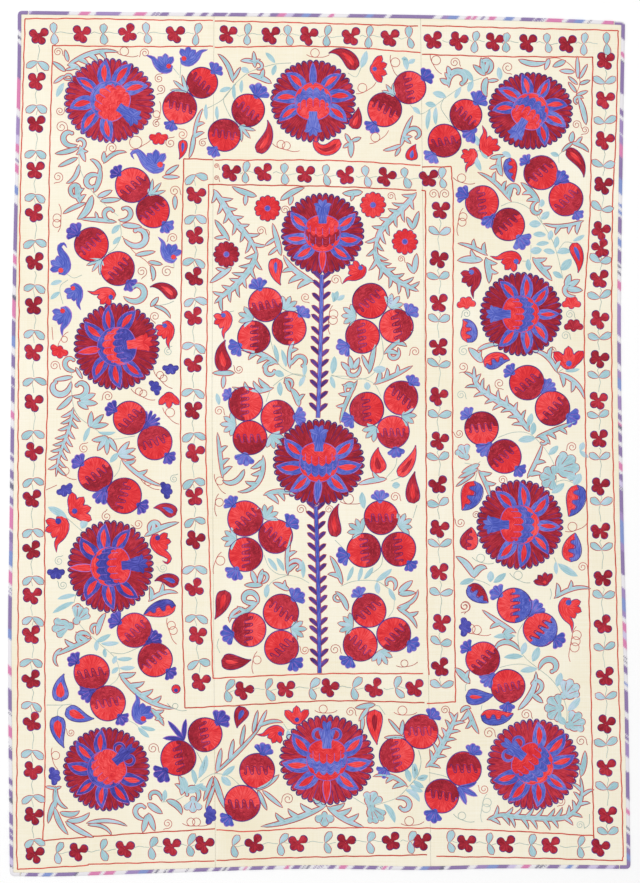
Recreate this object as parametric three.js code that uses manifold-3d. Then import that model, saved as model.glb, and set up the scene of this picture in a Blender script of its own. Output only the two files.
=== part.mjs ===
// A suzani: a flat embroidered cloth pieced from three loom widths and bound with a folded strip.
//
// Frame: millimetres, +Z up, the cloth lying on Z = 0 with its face up and its head towards +Y.
// The origin is at the middle of the outline, on the surface that the cloth lies on.
//
// The needlework is drawn on the cloth before it is sewn, so its places are given on a drawing
// chart: squares counted to the right and downwards from the chart's top left corner.

import * as THREE from "three";
import { mergeVertices } from "three/addons/utils/BufferGeometryUtils.js";
import Module from "manifold-3d";

const wasm = await Module();
wasm.setup();

// ---- driving dimensions -------------------------------------------------------------------

const SQUARE = 2.35; // one square of the drawing chart
const CHART_MIDDLE = { x: 319.2, y: 443.6 }; // squares

const CLOTH = 2.0; // the ground with the threads that cross its back
const HEM = 0.9; // the ground's edge, pressed thin inside the binding
const STITCHING = 0.8; // how far the filled needlework stands proud of the ground
const SEAM_GAP = 0.3; // between pieces that are sewn edge to edge

const STRIP = 0.8; // the binding's cloth, folded over the hem
const STRIP_REACH = 8.5; // how far the binding laps over the cloth's edge
const STRIP_EDGE = 0.6; // the soft edge of the fold
const STRIP_END = 25.0; // from a corner to the butt end of a short strip
const STRIP_HEIGHT = 2 * STRIP + 2 * SEAM_GAP + HEM;

const WORKING_MARGIN = 50.0; // how far the cutting shapes reach past the cloth

const CORNER_RADIUS = 11.0;
const CORNER_STEPS = 4;
const SIDE_STEPS = 12;

const FRUIT_RADIUS = 40.0;
const FRUIT_SIDES = 16;
const FRUIT_SPACING = 41.0; // a paired fruit's middle from the middle of its pair
const TRIPLE_SPACING = 47.0; // the same for three fruit round one point
const PETALS = 28; // round each rosette
const PETAL_DEPTH = 0.08; // of the rosette's radius

// ---- the outline, in chart squares ----------------------------------------------------------
// The cloth was cut by hand: it is wider at its foot, and none of its edges is straight.

const CORNERS = {
  topLeft: { x: 17.8, y: 10.8 },
  topRight: { x: 625.0, y: 21.5 },
  bottomRight: { x: 630.4, y: 868.8 },
  bottomLeft: { x: 9.8, y: 876.0 },
};

// Each side runs clockwise from one corner to the next, through the places where it bends.
const SIDES = [
  {
    from: "topLeft",
    bends: [
      { x: 120, y: 12.0 },
      { x: 288, y: 13.3 },
      { x: 420, y: 15.0 },
      { x: 527, y: 17.6 },
    ],
    inward: { x: 0, y: 1 },
    to: "topRight",
  },
  {
    from: "topRight",
    bends: [
      { x: 623.3, y: 117 },
      { x: 620.8, y: 325 },
      { x: 623.4, y: 517 },
      { x: 628.1, y: 703 },
    ],
    inward: { x: -1, y: 0 },
    to: "bottomRight",
  },
  {
    from: "bottomRight",
    bends: [
      { x: 505, y: 868.3 },
      { x: 420, y: 869.9 },
      { x: 303, y: 868.8 },
      { x: 171, y: 872.6 },
      { x: 60, y: 876.2 },
    ],
    inward: { x: 0, y: -1 },
    to: "bottomLeft",
  },
  {
    from: "bottomLeft",
    bends: [
      { x: 8.0, y: 655 },
      { x: 9.5, y: 526 },
      { x: 12.6, y: 284 },
      { x: 17.1, y: 84 },
    ],
    inward: { x: 1, y: 0 },
    to: "topLeft",
  },
];

// The two long seams, by their places at the head and at the foot.
const SEAMS = [
  { head: 213.6, foot: 215.4 },
  { head: 420.6, foot: 431.0 },
];

// ---- the large needlework, in chart squares -------------------------------------------------

const ROSETTES = [
  { x: 109.4, y: 100.3, radius: 43.5 },
  { x: 313.3, y: 101.4, radius: 41.5 },
  { x: 529.9, y: 110.9, radius: 40.5 },
  { x: 116.8, y: 346.6, radius: 43.0 },
  { x: 110.6, y: 567.0, radius: 44.0 },
  { x: 106.3, y: 769.2, radius: 42.5 },
  { x: 327.0, y: 760.0, radius: 46.0 },
  { x: 533.4, y: 764.4, radius: 46.0 },
  { x: 519.8, y: 524.7, radius: 44.0 },
  { x: 521.3, y: 314.3, radius: 41.5 },
  { x: 322.9, y: 233.4, radius: 40.5 },
  { x: 318.8, y: 462.4, radius: 44.0 },
];

// Pomegranates in pairs round the border. The lean is the pair's slope in degrees, rising right.
const PAIRS = [
  { x: 191.0, y: 95.2, lean: 47 },
  { x: 236.1, y: 122.8, lean: 46 },
  { x: 396.9, y: 98.6, lean: 41 },
  { x: 455.2, y: 128.0, lean: 50 },
  { x: 142.8, y: 198.4, lean: -52 },
  { x: 104.6, y: 256.3, lean: -43 },
  { x: 142.1, y: 430.4, lean: -44 },
  { x: 109.6, y: 485.0, lean: -37 },
  { x: 144.8, y: 645.1, lean: -55 },
  { x: 99.6, y: 687.8, lean: -62 },
  { x: 191.5, y: 746.3, lean: 41 },
  { x: 249.5, y: 787.0, lean: 66 },
  { x: 409.1, y: 743.5, lean: 43 },
  { x: 452.8, y: 782.6, lean: 51 },
  { x: 495.3, y: 672.3, lean: -47 },
  { x: 527.4, y: 617.2, lean: -43 },
  { x: 493.0, y: 442.6, lean: -51 },
  { x: 539.7, y: 395.8, lean: -46 },
  { x: 495.0, y: 213.4, lean: -41 },
  { x: 553.1, y: 186.0, lean: -46 },
];

// Pomegranates in threes in the middle field. The turn is the way to the first of each three.
const TRIPLES = [
  { x: 269.5, y: 323.4, turn: 102 },
  { x: 376.0, y: 321.2, turn: 106 },
  { x: 257.7, y: 419.8, turn: 126 },
  { x: 387.0, y: 413.2, turn: 168 },
  { x: 255.4, y: 536.6, turn: 120 },
  { x: 381.3, y: 539.1, turn: 90 },
  { x: 270.3, y: 629.9, turn: 60 },
  { x: 374.4, y: 629.7, turn: 106 },
];

// ---- helpers --------------------------------------------------------------------------------

const radians = THREE.MathUtils.degToRad;

// A place on the chart as a point on the cloth.
function place({ x, y }) {
  return new THREE.Vector2((x - CHART_MIDDLE.x) * SQUARE, (CHART_MIDDLE.y - y) * SQUARE);
}

// A point at a distance and a turn from another, on the cloth.
function beside(point, distance, turn) {
  const angle = radians(turn);
  return new THREE.Vector2(
    point.x + distance * Math.cos(angle),
    point.y + distance * Math.sin(angle),
  );
}

// A three.js geometry as a manifold solid.
function solid(geometry) {
  const bare = geometry.clone();
  bare.deleteAttribute("normal");
  bare.deleteAttribute("uv");
  const merged = mergeVertices(bare, 1e-4);
  const mesh = new wasm.Mesh({
    numProp: 3,
    vertProperties: new Float32Array(merged.attributes.position.array),
    triVerts: new Uint32Array(merged.index.array),
  });
  return new wasm.Manifold(mesh);
}

// A manifold solid as a flat-shaded three.js geometry.
function geometryOf(manifold) {
  const { vertProperties, triVerts } = manifold.getMesh();
  const geometry = new THREE.BufferGeometry();
  geometry.setAttribute("position", new THREE.BufferAttribute(vertProperties, 3));
  geometry.setIndex(new THREE.BufferAttribute(triVerts, 1));
  const faceted = geometry.toNonIndexed();
  faceted.computeVertexNormals();
  return faceted;
}

// The solid that a flat shape sweeps between two heights.
function slab(shape, low, high) {
  const geometry = new THREE.ExtrudeGeometry(shape, { depth: high - low, bevelEnabled: false });
  geometry.translate(0, 0, low);
  return solid(geometry);
}

// The same with its rim eased by a chamfer above and below.
function easedSlab(shape, low, high, edge) {
  const geometry = new THREE.ExtrudeGeometry(shape, {
    depth: high - low - 2 * edge,
    bevelThickness: edge,
    bevelSize: edge,
    bevelOffset: -edge,
    bevelSegments: 1,
  });
  geometry.translate(0, 0, low + edge);
  return solid(geometry);
}

// One side of the cloth, moved in from the outline, as points from corner to corner.
function sidePoints(side, inset) {
  const corner = (name, neighbour) => {
    const point = place(CORNERS[name]);
    point.x += inset * (side.inward.x + neighbour.inward.x);
    point.y -= inset * (side.inward.y + neighbour.inward.y);
    return point;
  };
  const bend = (at) => {
    const point = place(at);
    return point.add(new THREE.Vector2(inset * side.inward.x, -inset * side.inward.y));
  };
  const before = SIDES.find((other) => other.to === side.from);
  const after = SIDES.find((other) => other.from === side.to);
  const curve = new THREE.SplineCurve([
    corner(side.from, before),
    ...side.bends.map(bend),
    corner(side.to, after),
  ]);
  return curve.getPoints(SIDE_STEPS);
}

// The cloth's outline, moved in by a distance, with its corners rounded.
function outline(inset) {
  const radius = CORNER_RADIUS - inset;
  const sides = SIDES.map((side) => sidePoints(side, inset));
  const points = [];
  sides.forEach((side, i) => {
    const next = sides[(i + 1) % sides.length];
    const [first, second] = side;
    const [last, beforeLast] = [side.at(-1), side.at(-2)];
    points.push(first.clone().lerp(second, radius / first.distanceTo(second)));
    points.push(...side.slice(1, -1));
    const leave = last.clone().lerp(beforeLast, radius / last.distanceTo(beforeLast));
    const arrive = last.clone().lerp(next[1], radius / last.distanceTo(next[1]));
    const corner = new THREE.QuadraticBezierCurve(leave, last, arrive);
    points.push(...corner.getPoints(CORNER_STEPS).slice(0, -1));
  });
  return new THREE.Shape(points.reverse());
}

// A cutting block between two slanting lines, each moved aside by its own shift.
function blockBetween(left, right) {
  const head = place(CORNERS.topLeft).y + WORKING_MARGIN;
  const foot = place(CORNERS.bottomLeft).y - WORKING_MARGIN;
  const shape = new THREE.Shape([
    new THREE.Vector2(left.foot + left.shift, foot),
    new THREE.Vector2(right.foot + right.shift, foot),
    new THREE.Vector2(right.head + right.shift, head),
    new THREE.Vector2(left.head + left.shift, head),
  ]);
  return slab(shape, -1, STRIP_HEIGHT + 1);
}

// An upright cutting block between two opposite corners.
function block(x0, y0, x1, y1) {
  const corners = [
    [x0, y0],
    [x1, y0],
    [x1, y1],
    [x0, y1],
  ];
  const shape = new THREE.Shape(corners.map(([x, y]) => new THREE.Vector2(x, y)));
  return slab(shape, -1, STRIP_HEIGHT + 1);
}

// ---- needlework -----------------------------------------------------------------------------

// A rosette's outline: a ring of blunt petals, each with two shoulders and a notch beside it.
function rosetteShape({ x, y, radius }) {
  const middle = place({ x, y });
  const shoulder = radius * SQUARE;
  const notch = shoulder * (1 - PETAL_DEPTH);
  const points = [];
  for (let i = 0; i < PETALS; i++) {
    const petal = 360 / PETALS;
    points.push(beside(middle, notch, petal * i));
    points.push(beside(middle, shoulder, petal * (i + 0.32)));
    points.push(beside(middle, shoulder, petal * (i + 0.68)));
  }
  return new THREE.Shape(points);
}

function fruitShape(middle) {
  const points = [];
  for (let i = 0; i < FRUIT_SIDES; i++) {
    points.push(beside(middle, FRUIT_RADIUS, (360 / FRUIT_SIDES) * (i + 0.5)));
  }
  return new THREE.Shape(points);
}

function fruitPlaces() {
  const paired = PAIRS.flatMap(({ x, y, lean }) =>
    [lean, lean + 180].map((turn) => beside(place({ x, y }), FRUIT_SPACING, turn)),
  );
  const inThrees = TRIPLES.flatMap(({ x, y, turn }) =>
    [turn, turn + 120, turn + 240].map((way) => beside(place({ x, y }), TRIPLE_SPACING, way)),
  );
  return [...paired, ...inThrees];
}

// The filled needlework as plates that start inside the ground and stand proud of it.
function needlework() {
  const shapes = [...ROSETTES.map(rosetteShape), ...fruitPlaces().map(fruitShape)];
  const plates = shapes.map((shape) => slab(shape, CLOTH / 2, CLOTH + STITCHING));
  return plates.reduce((all, plate) => all.add(plate));
}

// ---- the pieces -----------------------------------------------------------------------------

const groundMaterial = new THREE.MeshStandardMaterial({
  color: new THREE.Color(0.93, 0.89, 0.78),
  roughness: 0.85,
  metalness: 0,
});
const bindingMaterial = new THREE.MeshStandardMaterial({
  color: new THREE.Color(0.42, 0.3, 0.6),
  roughness: 0.6,
  metalness: 0,
});

// A named piece of the part.
function named(name, manifold, material) {
  const mesh = new THREE.Mesh(geometryOf(manifold), material);
  mesh.name = name;
  return mesh;
}

// The whole cloth before it is parted at its seams: the ground, its pressed hem and its needlework.
function cloth() {
  const full = slab(outline(STRIP_REACH + SEAM_GAP), 0, CLOTH);
  const hemLow = STRIP + SEAM_GAP;
  const hem = slab(outline(STRIP + SEAM_GAP), hemLow, hemLow + HEM);
  return full.add(hem).add(needlework());
}

function groundPanels() {
  const whole = cloth();
  const half = SEAM_GAP / 2;
  const sideEdge = CHART_MIDDLE.x * SQUARE + WORKING_MARGIN;
  const lines = [
    { head: -sideEdge, foot: -sideEdge },
    ...SEAMS.map(({ head, foot }) => ({
      head: place({ x: head, y: 0 }).x,
      foot: place({ x: foot, y: 0 }).x,
    })),
    { head: sideEdge, foot: sideEdge },
  ];
  return ["ground_left", "ground_centre", "ground_right"].map((name, i) => {
    const left = { ...lines[i], shift: half };
    const right = { ...lines[i + 1], shift: -half };
    const panel = whole.intersect(blockBetween(left, right));
    return named(name, panel, groundMaterial);
  });
}

// A strip folded over the cloth's edge: a wall outside it and a lip above and below it.
function bindingRing() {
  const wide = easedSlab(outline(0), 0, STRIP_HEIGHT, STRIP_EDGE);
  const fold = slab(outline(STRIP), STRIP, STRIP_HEIGHT - STRIP);
  const middle = slab(outline(STRIP_REACH), -1, STRIP_HEIGHT + 1);
  return wide.subtract(fold).subtract(middle);
}

// The block that a short strip fills between two corners, made longer by a gap at each end.
function shortStripBlock(leftCorner, rightCorner, outward, gap) {
  const left = place(leftCorner);
  const right = place(rightCorner);
  const inner = (outward > 0 ? Math.min : Math.max)(left.y, right.y) - outward * STRIP_END;
  const outer = inner + outward * (STRIP_END + WORKING_MARGIN);
  const start = left.x + STRIP_END - gap;
  const end = right.x - STRIP_END + gap;
  return block(start, Math.min(inner, outer), end, Math.max(inner, outer));
}

// The side strips turn the corners, and the head and foot strips butt against them.
function bindingStrips() {
  const ring = bindingRing();
  const topBlock = (gap) => shortStripBlock(CORNERS.topLeft, CORNERS.topRight, 1, gap);
  const bottomBlock = (gap) => shortStripBlock(CORNERS.bottomLeft, CORNERS.bottomRight, -1, gap);
  const far = CHART_MIDDLE.y * SQUARE + WORKING_MARGIN;
  const sides = ring.subtract(topBlock(SEAM_GAP)).subtract(bottomBlock(SEAM_GAP));
  const strips = {
    binding_left: sides.intersect(block(-far, -far, 0, far)),
    binding_right: sides.intersect(block(0, -far, far, far)),
    binding_top: ring.intersect(topBlock(0)),
    binding_bottom: ring.intersect(bottomBlock(0)),
  };
  return Object.entries(strips).map(([name, strip]) => named(name, strip, bindingMaterial));
}

const suzani = new THREE.Group();
suzani.add(...groundPanels(), ...bindingStrips());

export default suzani;
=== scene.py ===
"""A suzani: three joined panels of cream cotton, worked all over in silk and bound with striped tape.

The needlework is placed on the maker's drawing chart. Its squares are 2.35 mm, x runs to the right
and y down from the chart's top left corner. Angles are in degrees, anticlockwise from the right.
Heights above the cloth, and lengths along a thread, are in millimetres.
"""

import math
import random
from collections import defaultdict, namedtuple

import bmesh
import bpy
import numpy as np
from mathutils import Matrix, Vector


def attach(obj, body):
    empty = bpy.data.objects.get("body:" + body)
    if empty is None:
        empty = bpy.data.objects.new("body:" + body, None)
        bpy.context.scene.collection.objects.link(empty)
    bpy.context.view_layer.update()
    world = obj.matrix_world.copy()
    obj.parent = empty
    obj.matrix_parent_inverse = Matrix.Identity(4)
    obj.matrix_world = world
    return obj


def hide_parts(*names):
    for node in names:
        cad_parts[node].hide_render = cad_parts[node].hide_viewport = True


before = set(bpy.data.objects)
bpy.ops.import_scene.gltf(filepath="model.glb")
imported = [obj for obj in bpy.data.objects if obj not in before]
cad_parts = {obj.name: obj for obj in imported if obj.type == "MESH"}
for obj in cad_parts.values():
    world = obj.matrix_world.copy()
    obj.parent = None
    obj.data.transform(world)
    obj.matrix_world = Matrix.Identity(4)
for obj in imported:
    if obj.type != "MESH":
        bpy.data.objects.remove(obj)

for name in ("Cube", "Light", "Camera"):
    if name in bpy.data.objects:
        bpy.data.objects.remove(bpy.data.objects[name])
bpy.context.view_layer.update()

# ---- sizes ------------------------------------------------------------------------------------

MM = 0.001
SQUARE = 2.35 * MM
MIDDLE = complex(319.2, 443.6)  # the chart square that lies on the frame's origin

CLOTH_TOP = 2.0 * MM
CLOTH_THICK = 2.0 * MM
RIM_BOTTOM = 1.0 * MM  # the underside of the cloth inside the folded tape
UNEVEN = 0.9 * MM  # how high the cloth rides above its lowest places
SEAM_DIP = 0.35 * MM
SEAM_DIP_WIDTH = 5.0 * MM
GRID = 12.0 * MM  # between the lines of a panel's mesh
PANEL_START, PANEL_LONG, PANEL_WIDE = 14, 855.0, 206.0  # a panel's size on the chart, roughly

TAPE_STEP = 3.0 * MM  # between the points along a tape
TAPE_END = 25.0 * MM  # how far from the corners the tapes of the short edges end
GAP = 0.3 * MM  # between pieces that lie side by side
HEM_IN = 1.1 * MM  # from the tape's outer edge to the edge of the cloth inside it
CORNER_RADIUS = 11.0 * MM

FLOOR_SIZE = 30  # metres, past all that the camera sees
IMAGE_WIDTH, IMAGE_HEIGHT = 640, 883  # the photograph's frame, in its pixels
LENS, SENSOR = 85.0, 36.0

THREAD_WIDTH = 1.0  # of a chain-stitched line, in squares
LINE_HEIGHT = 0.5
FILL_HEIGHT = 0.55
FULL_HEIGHT = 0.65  # of filled work that is padded more
DOT_HEIGHT = 0.4
RIM_HEIGHT = 0.3  # of the outline under a trimmed shape
ON_RIM = 0.15  # how far a shape lies above its outline
FINE_LINE = {"width": 0.72, "height": 0.4}

dice = random.Random(1907)

# ---- the chart --------------------------------------------------------------------------------


def way(degrees):
    """A step of one square in a direction. The chart's y runs down."""
    turn = np.radians(degrees)
    return np.cos(turn) - 1j * np.sin(turn)


def jitter(amount):
    """A small random difference, up to an amount either way."""
    return dice.uniform(-amount, amount)


def smooth(low, high, value):
    """0 below low, 1 above high and a soft slope between them."""
    t = np.clip((value - low) / (high - low), 0, 1)
    return t * t * (3 - 2 * t)


def bearing(step):
    """The direction of a step on the chart, in degrees."""
    return -math.degrees(np.angle(step))


def in_frame(chart):
    """x and y in the frame of places on the chart, in metres."""
    return (chart.real - MIDDLE.real) * SQUARE, (MIDDLE.imag - chart.imag) * SQUARE


SEAM_LINES = {
    "left seam": [(10, 214.0), (400, 212.0), (876, 215.5)],
    "right seam": [(10, 420.5), (300, 424.0), (876, 431.0)],
}


def seam_x(name, y):
    """Where a seam lies at a y."""
    ys, xs = zip(*SEAM_LINES[name])
    return np.interp(y, ys, xs)


# Low waves in the laid cloth: how fast each runs along x and y, where it starts and its strength.
WAVES = [(5.1, 2.2, 0.6, 1.0), (-3.3, 6.4, 2.1, 0.8), (11.7, 4.9, 4.0, 0.5), (2.0, -15.3, 1.3, 0.4)]
WAVE_SPAN = 5.4  # twice the sum of their strengths
FLAT_EDGES = (14, 625, 16, 870)  # left, right, top and bottom of the part that may ride up
FLAT_FADE = 30


def rise(x, y):
    """The height of the cloth's face above the floor at a place in the frame, in metres."""
    waves = sum(strength * np.sin(by_x * x + by_y * y + start) for by_x, by_y, start, strength in WAVES)
    chart_x = x / SQUARE + MIDDLE.real
    chart_y = MIDDLE.imag - y / SQUARE
    left, right, top, bottom = FLAT_EDGES
    inside = np.minimum.reduce([chart_x - left, right - chart_x, chart_y - top, bottom - chart_y])
    height = CLOTH_TOP + UNEVEN * (0.5 + waves / WAVE_SPAN) * smooth(0, FLAT_FADE, inside)
    for name in SEAM_LINES:
        away = (chart_x - seam_x(name, chart_y)) * SQUARE
        height = height - SEAM_DIP * np.exp(-((away / SEAM_DIP_WIDTH) ** 2))
    return height


# ---- needlework -------------------------------------------------------------------------------


def quads(number):
    """The faces of a grid of numbered points."""
    corners = [number[:-1, :-1], number[1:, :-1], number[1:, 1:], number[:-1, 1:]]
    return np.stack(corners, axis=-1).reshape(-1, 4)


class Heap:
    """All the shapes worked in one thread, kept as arrays until they become one mesh."""

    def __init__(self):
        self.places, self.faces, self.stitch, self.tone = [], [], [], []
        self.count = 0

    def add(self, chart, lift, along, across, tone, closed):
        """Adds a grid of points: rows down, columns across, closed if its last column meets its first."""
        x, y = in_frame(chart)
        z = rise(x, y) + lift * MM
        self.places.append(np.stack([x, y, z], axis=-1).reshape(-1, 3))
        self.stitch.append(np.stack([across, along], axis=-1).reshape(-1, 2))
        self.tone.append(np.full(chart.size, tone))
        number = np.arange(chart.size).reshape(chart.shape) + self.count
        if closed:
            number = np.concatenate([number, number[:, :1]], axis=1)
        self.faces.append(quads(number))
        self.count += chart.size


heaps = defaultdict(Heap)


def grid(thread, chart, lift, along, across, closed=False):
    """Adds a grid to a thread's heap with its faces up, whichever way round it was drawn."""
    step = chart[1:, :] - chart[:-1, :]
    cross = chart[:, 1:] - chart[:, :-1]
    area = np.sum((np.conj(step[:, :-1]) * cross[:-1, :]).imag)
    shape = np.broadcast_arrays(chart, lift, along, across)
    if area > 0:
        shape = [part[::-1] for part in shape]
    heaps[thread].add(*shape, jitter(1), closed)


def lengths(points):
    """The distance along a path at each of its points, in millimetres."""
    steps = np.abs(np.diff(points))
    return np.concatenate([[0], np.cumsum(steps)]) * SQUARE / MM


def normals(points, closed=False):
    """A step of one square to the side of a path at each of its points."""
    if closed:
        ahead = np.roll(points, -1) - np.roll(points, 1)
    else:
        ahead = np.gradient(points)
    return 1j * ahead / np.maximum(np.abs(ahead), 1e-9)


# Across a line, and across a leaf: the points in half widths, and their heights in full ones.
LINE_SECTION = np.array([-1.0, -0.55, 0.55, 1.0])
LINE_PROFILE = np.array([-0.25, 1.0, 1.0, -0.25])
ACROSS = np.array([-1.0, -0.8, -0.3, 0.3, 0.8, 1.0])
PADDING = np.array([-0.25, 0.72, 1.0, 1.0, 0.72, -0.25])
# From the middle of a blob to its rim, and from one side of a band to the other.
RINGS = np.array([0.02, 0.35, 0.7, 0.93, 1.0])
RING_PADDING = np.array([1.0, 1.0, 0.95, 0.7, -0.25])
BAND_ROWS = np.array([0.0, 0.12, 0.5, 0.88, 1.0])
BAND_PADDING = np.array([-0.1, 0.8, 1.0, 0.8, -0.1])


def line(thread, points, width=THREAD_WIDTH, height=LINE_HEIGHT, lift=0.0, closed=False):
    """A raised line of chain stitch along a path."""
    points = np.asarray(points, dtype=complex)
    if closed:
        points = np.append(points, points[0])
    side = normals(points)
    if closed:
        side[0] = side[-1] = normals(points[:-1], closed=True)[0]
    chart = points[:, None] + side[:, None] * LINE_SECTION[None, :] * width / 2
    along = lengths(points)[:, None] + 0 * chart.real
    across = (LINE_SECTION * width * SQUARE / MM / 2)[None, :] + 0 * chart.real
    grid(thread, chart, lift + height * LINE_PROFILE[None, :], along, across)


def path(start, heading, length, turn=0.0, tighten=1.0, steps=14):
    """A path that leaves a place in a direction and turns by an angle over its length."""
    t = np.linspace(0, 1, steps + 1)
    middle = (t[1:] + t[:-1]) / 2
    heads = way(heading + turn * middle**tighten)
    return start + np.concatenate([[0], np.cumsum(heads)]) * length / steps


def curve(points, step=2.0):
    """A smooth path through a few places (Catmull-Rom), with a point every step squares or so."""
    points = np.asarray(points, dtype=complex)
    before = 2 * points[0] - points[1]
    after = 2 * points[-1] - points[-2]
    knots = np.concatenate([[before], points, [after]])
    out = []
    for a, b, c, d in zip(knots, knots[1:], knots[2:], knots[3:]):
        t = np.linspace(0, 1, max(2, int(abs(c - b) / step)), endpoint=False)
        bend, twist = 2 * a - 5 * b + 4 * c - d, 3 * b - a - 3 * c + d
        out.append(0.5 * (2 * b + (c - a) * t + bend * t**2 + twist * t**3))
    return np.concatenate(out + [points[-1:]])


def through(places, step):
    """A smooth path through x, y pairs."""
    return curve([complex(*place) for place in places], step)


# How a leaf's width swells from its base and from its tip. A smaller number is a blunter end.
LEAF = (0.75, 0.75)
PETAL_TIP = (0.55, 0.9)
FROND = (0.55, 0.7)
TOOTH = (0.5, 0.8)
BRANCH, BRANCH_TOOTH = (0.35, 0.5), (0.55, 0.8)
CURL = (0.6, 0.45)
PAISLEY, HALVED_PAISLEY = (0.42, 1.15), (0.5, 0.85)
NARROWEST = 0.04  # a leaf's ends, as a share of its width


def swell(t, shape):
    """A leaf's width from its base to its tip, as a share of its greatest width."""
    base, tip = shape
    peak = base / (base + tip)
    return t**base * (1 - t) ** tip / (peak**base * (1 - peak) ** tip)


def half_widths(spine, width, shape):
    """Half a leaf's width at each point of its spine."""
    return np.maximum(swell(np.linspace(0, 1, len(spine)), shape), NARROWEST) * width / 2


def padded_strip(thread, spine, half, lift, height):
    """A padded strip along a spine, from half its width at each point."""
    across = half[:, None] * ACROSS[None, :]
    chart = spine[:, None] + normals(spine)[:, None] * across
    along = lengths(spine)[:, None] + 0 * across
    grid(thread, chart, lift + height * PADDING[None, :], along, across * SQUARE / MM)


def leaf(thread, spine, width, shape=LEAF, edge=None, lift=0.0, height=FILL_HEIGHT, edge_width=0.8):
    """A filled leaf along a spine, with an outline if edge names a thread for it."""
    half = half_widths(spine, width, shape)
    padded_strip(thread, spine, half, lift, height)
    if edge:
        side = normals(spine) * half
        rim = np.concatenate([spine + side, (spine - side)[::-1]])
        line(edge, rim, width=edge_width, lift=lift + 0.1, closed=True)


def blob(thread, centre, radii, edge=None, lift=0.0, height=FILL_HEIGHT, edge_width=0.9):
    """A filled shape round a centre. radii are its distances to the rim, evenly spaced."""
    count = len(radii)
    spokes = way(360 * np.arange(count) / count)
    chart = centre + RINGS[:, None] * (radii * spokes)[None, :]
    along = RINGS[:, None] * radii[None, :] * SQUARE / MM
    around = (np.arange(count) / count * 2 * np.pi * np.mean(radii) * SQUARE / MM)[None, :] + 0 * along
    grid(thread, chart, lift + height * RING_PADDING[:, None], along, around, closed=True)
    if edge:
        line(edge, centre + radii * spokes, width=edge_width, lift=lift + 0.2, closed=True)


def dot(thread, centre, radius, lift=0.65):
    """A small round spot on top of other work."""
    blob(thread, centre, np.full(14, radius), lift=lift, height=DOT_HEIGHT)


def band(thread, first, second, lift=0.0, height=FILL_HEIGHT):
    """The filled space between two paths that have the same number of points."""
    rows = BAND_ROWS[:, None]
    chart = first[None, :] * (1 - rows) + second[None, :] * rows
    across = rows * np.abs(second - first)[None, :] * SQUARE / MM
    along = lengths(first)[None, :] + 0 * across
    grid(thread, chart, lift + height * BAND_PADDING[:, None], along, across)


def grown(spine, width, shape, by):
    """A leaf's spine and half widths, made larger all round."""
    half = half_widths(spine, width, shape) + by
    start, end = spine[0] - spine[1], spine[-1] - spine[-2]
    spine = spine.copy()
    spine[0] += by * start / abs(start)
    spine[-1] += by * end / abs(end)
    half[0] = half[-1] = 0.3 * by
    return spine, half


def trimmed_leaf(thread, edge, spine, width, shape=LEAF, lift=0.0, rim=0.75):
    """A leaf over a slightly larger one, so that leaves which touch share one outline."""
    wide_spine, half = grown(spine, width, shape, rim)
    padded_strip(edge, wide_spine, half, lift, RIM_HEIGHT)
    leaf(thread, spine, width, shape, lift=lift + ON_RIM)


def lobe(off, reach, size):
    """How far out a round lobe of a size reaches, off radians from the middle of it."""
    inside = size**2 - (reach * np.sin(off)) ** 2
    front = reach * np.cos(off) + np.sqrt(np.maximum(inside, 0))
    return np.where((inside > 0) & (np.cos(off) > 0), front, 0)


def lobed(headings, reach, size, core, count=60):
    """The rim of a shape with round lobes of a size, set at a reach from its middle."""
    angles = np.radians(360 * np.arange(count) / count)
    rim = np.full(count, float(core))
    for heading in headings:
        rim = np.maximum(rim, lobe(angles - math.radians(heading), reach, size))
    return rim


def trimmed_blob(thread, edge, centre, radii, rim, lift=0.0):
    """A filled shape over a slightly larger one."""
    blob(edge, centre, radii + rim, lift=lift, height=RIM_HEIGHT)
    blob(thread, centre, radii, lift=lift + ON_RIM)


def fan(thread, edge, base, heading, count, length, width, spread, shape=LEAF):
    """Leaves that spread from one point, the outer ones shorter and bent outwards."""
    for i in range(count):
        off = 2 * i / (count - 1) - 1
        reach = length * (1 - 0.14 * abs(off)) * (1 + jitter(0.06))
        spine = path(base, heading + off * spread / 2, reach, turn=15 * off, steps=8)
        trimmed_leaf(thread, edge, spine, width, shape)


def calyx(thread, edge, base, heading, lobes, length, spread):
    """A fan of round lobes on one narrow seat, with a line sewn between each two."""
    step = spread / lobes
    headings = [heading + step * (i - (lobes - 1) / 2) for i in range(lobes)]
    size = 0.84 * length * math.sin(math.radians(step / 2))
    angles = np.arange(0, 360, 5.0)
    aside = np.abs((angles - heading + 180) % 360 - 180)
    radii = length * (0.2 + 0.5 * (1 - smooth(0.42, 0.52, aside / spread)))
    for i, way_out in enumerate(headings):
        shorter = 1 - 0.16 * (abs(2 * i - lobes + 1) / lobes) ** 2 + jitter(0.05)
        radii = np.maximum(radii, shorter * lobe(np.radians(angles - way_out), length - size, size))
    trimmed_blob(thread, edge, base, radii, rim=0.75)
    for first, second in zip(headings, headings[1:]):
        groove = base + way((first + second) / 2) * np.linspace(0.3, 0.74, 5) * length
        line(edge, groove, width=0.75, height=0.3, lift=FILL_HEIGHT + 0.05)


# ---- the motifs -------------------------------------------------------------------------------


def outline_for(thread):
    """The thread that outlines flowers of a thread."""
    return "lilac" if thread == "blue" else "violet"


ARCH_POINTS = 49

def dome(centre, crown, apex, corner, half, scallops=0, depth=0.0):
    """An arch across a bud, its apex away from the crown unless apex is positive."""
    s = np.linspace(-1, 1, ARCH_POINTS)
    arch = np.cos(s * math.pi / 2)
    along = corner + (apex - corner) * arch
    along = along - depth * np.abs(np.sin(math.pi * scallops * (s + 1) / 2)) * arch
    aside = half * np.sin(s * math.pi / 2)
    return centre + way(crown) * along + way(crown + 90) * aside


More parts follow.
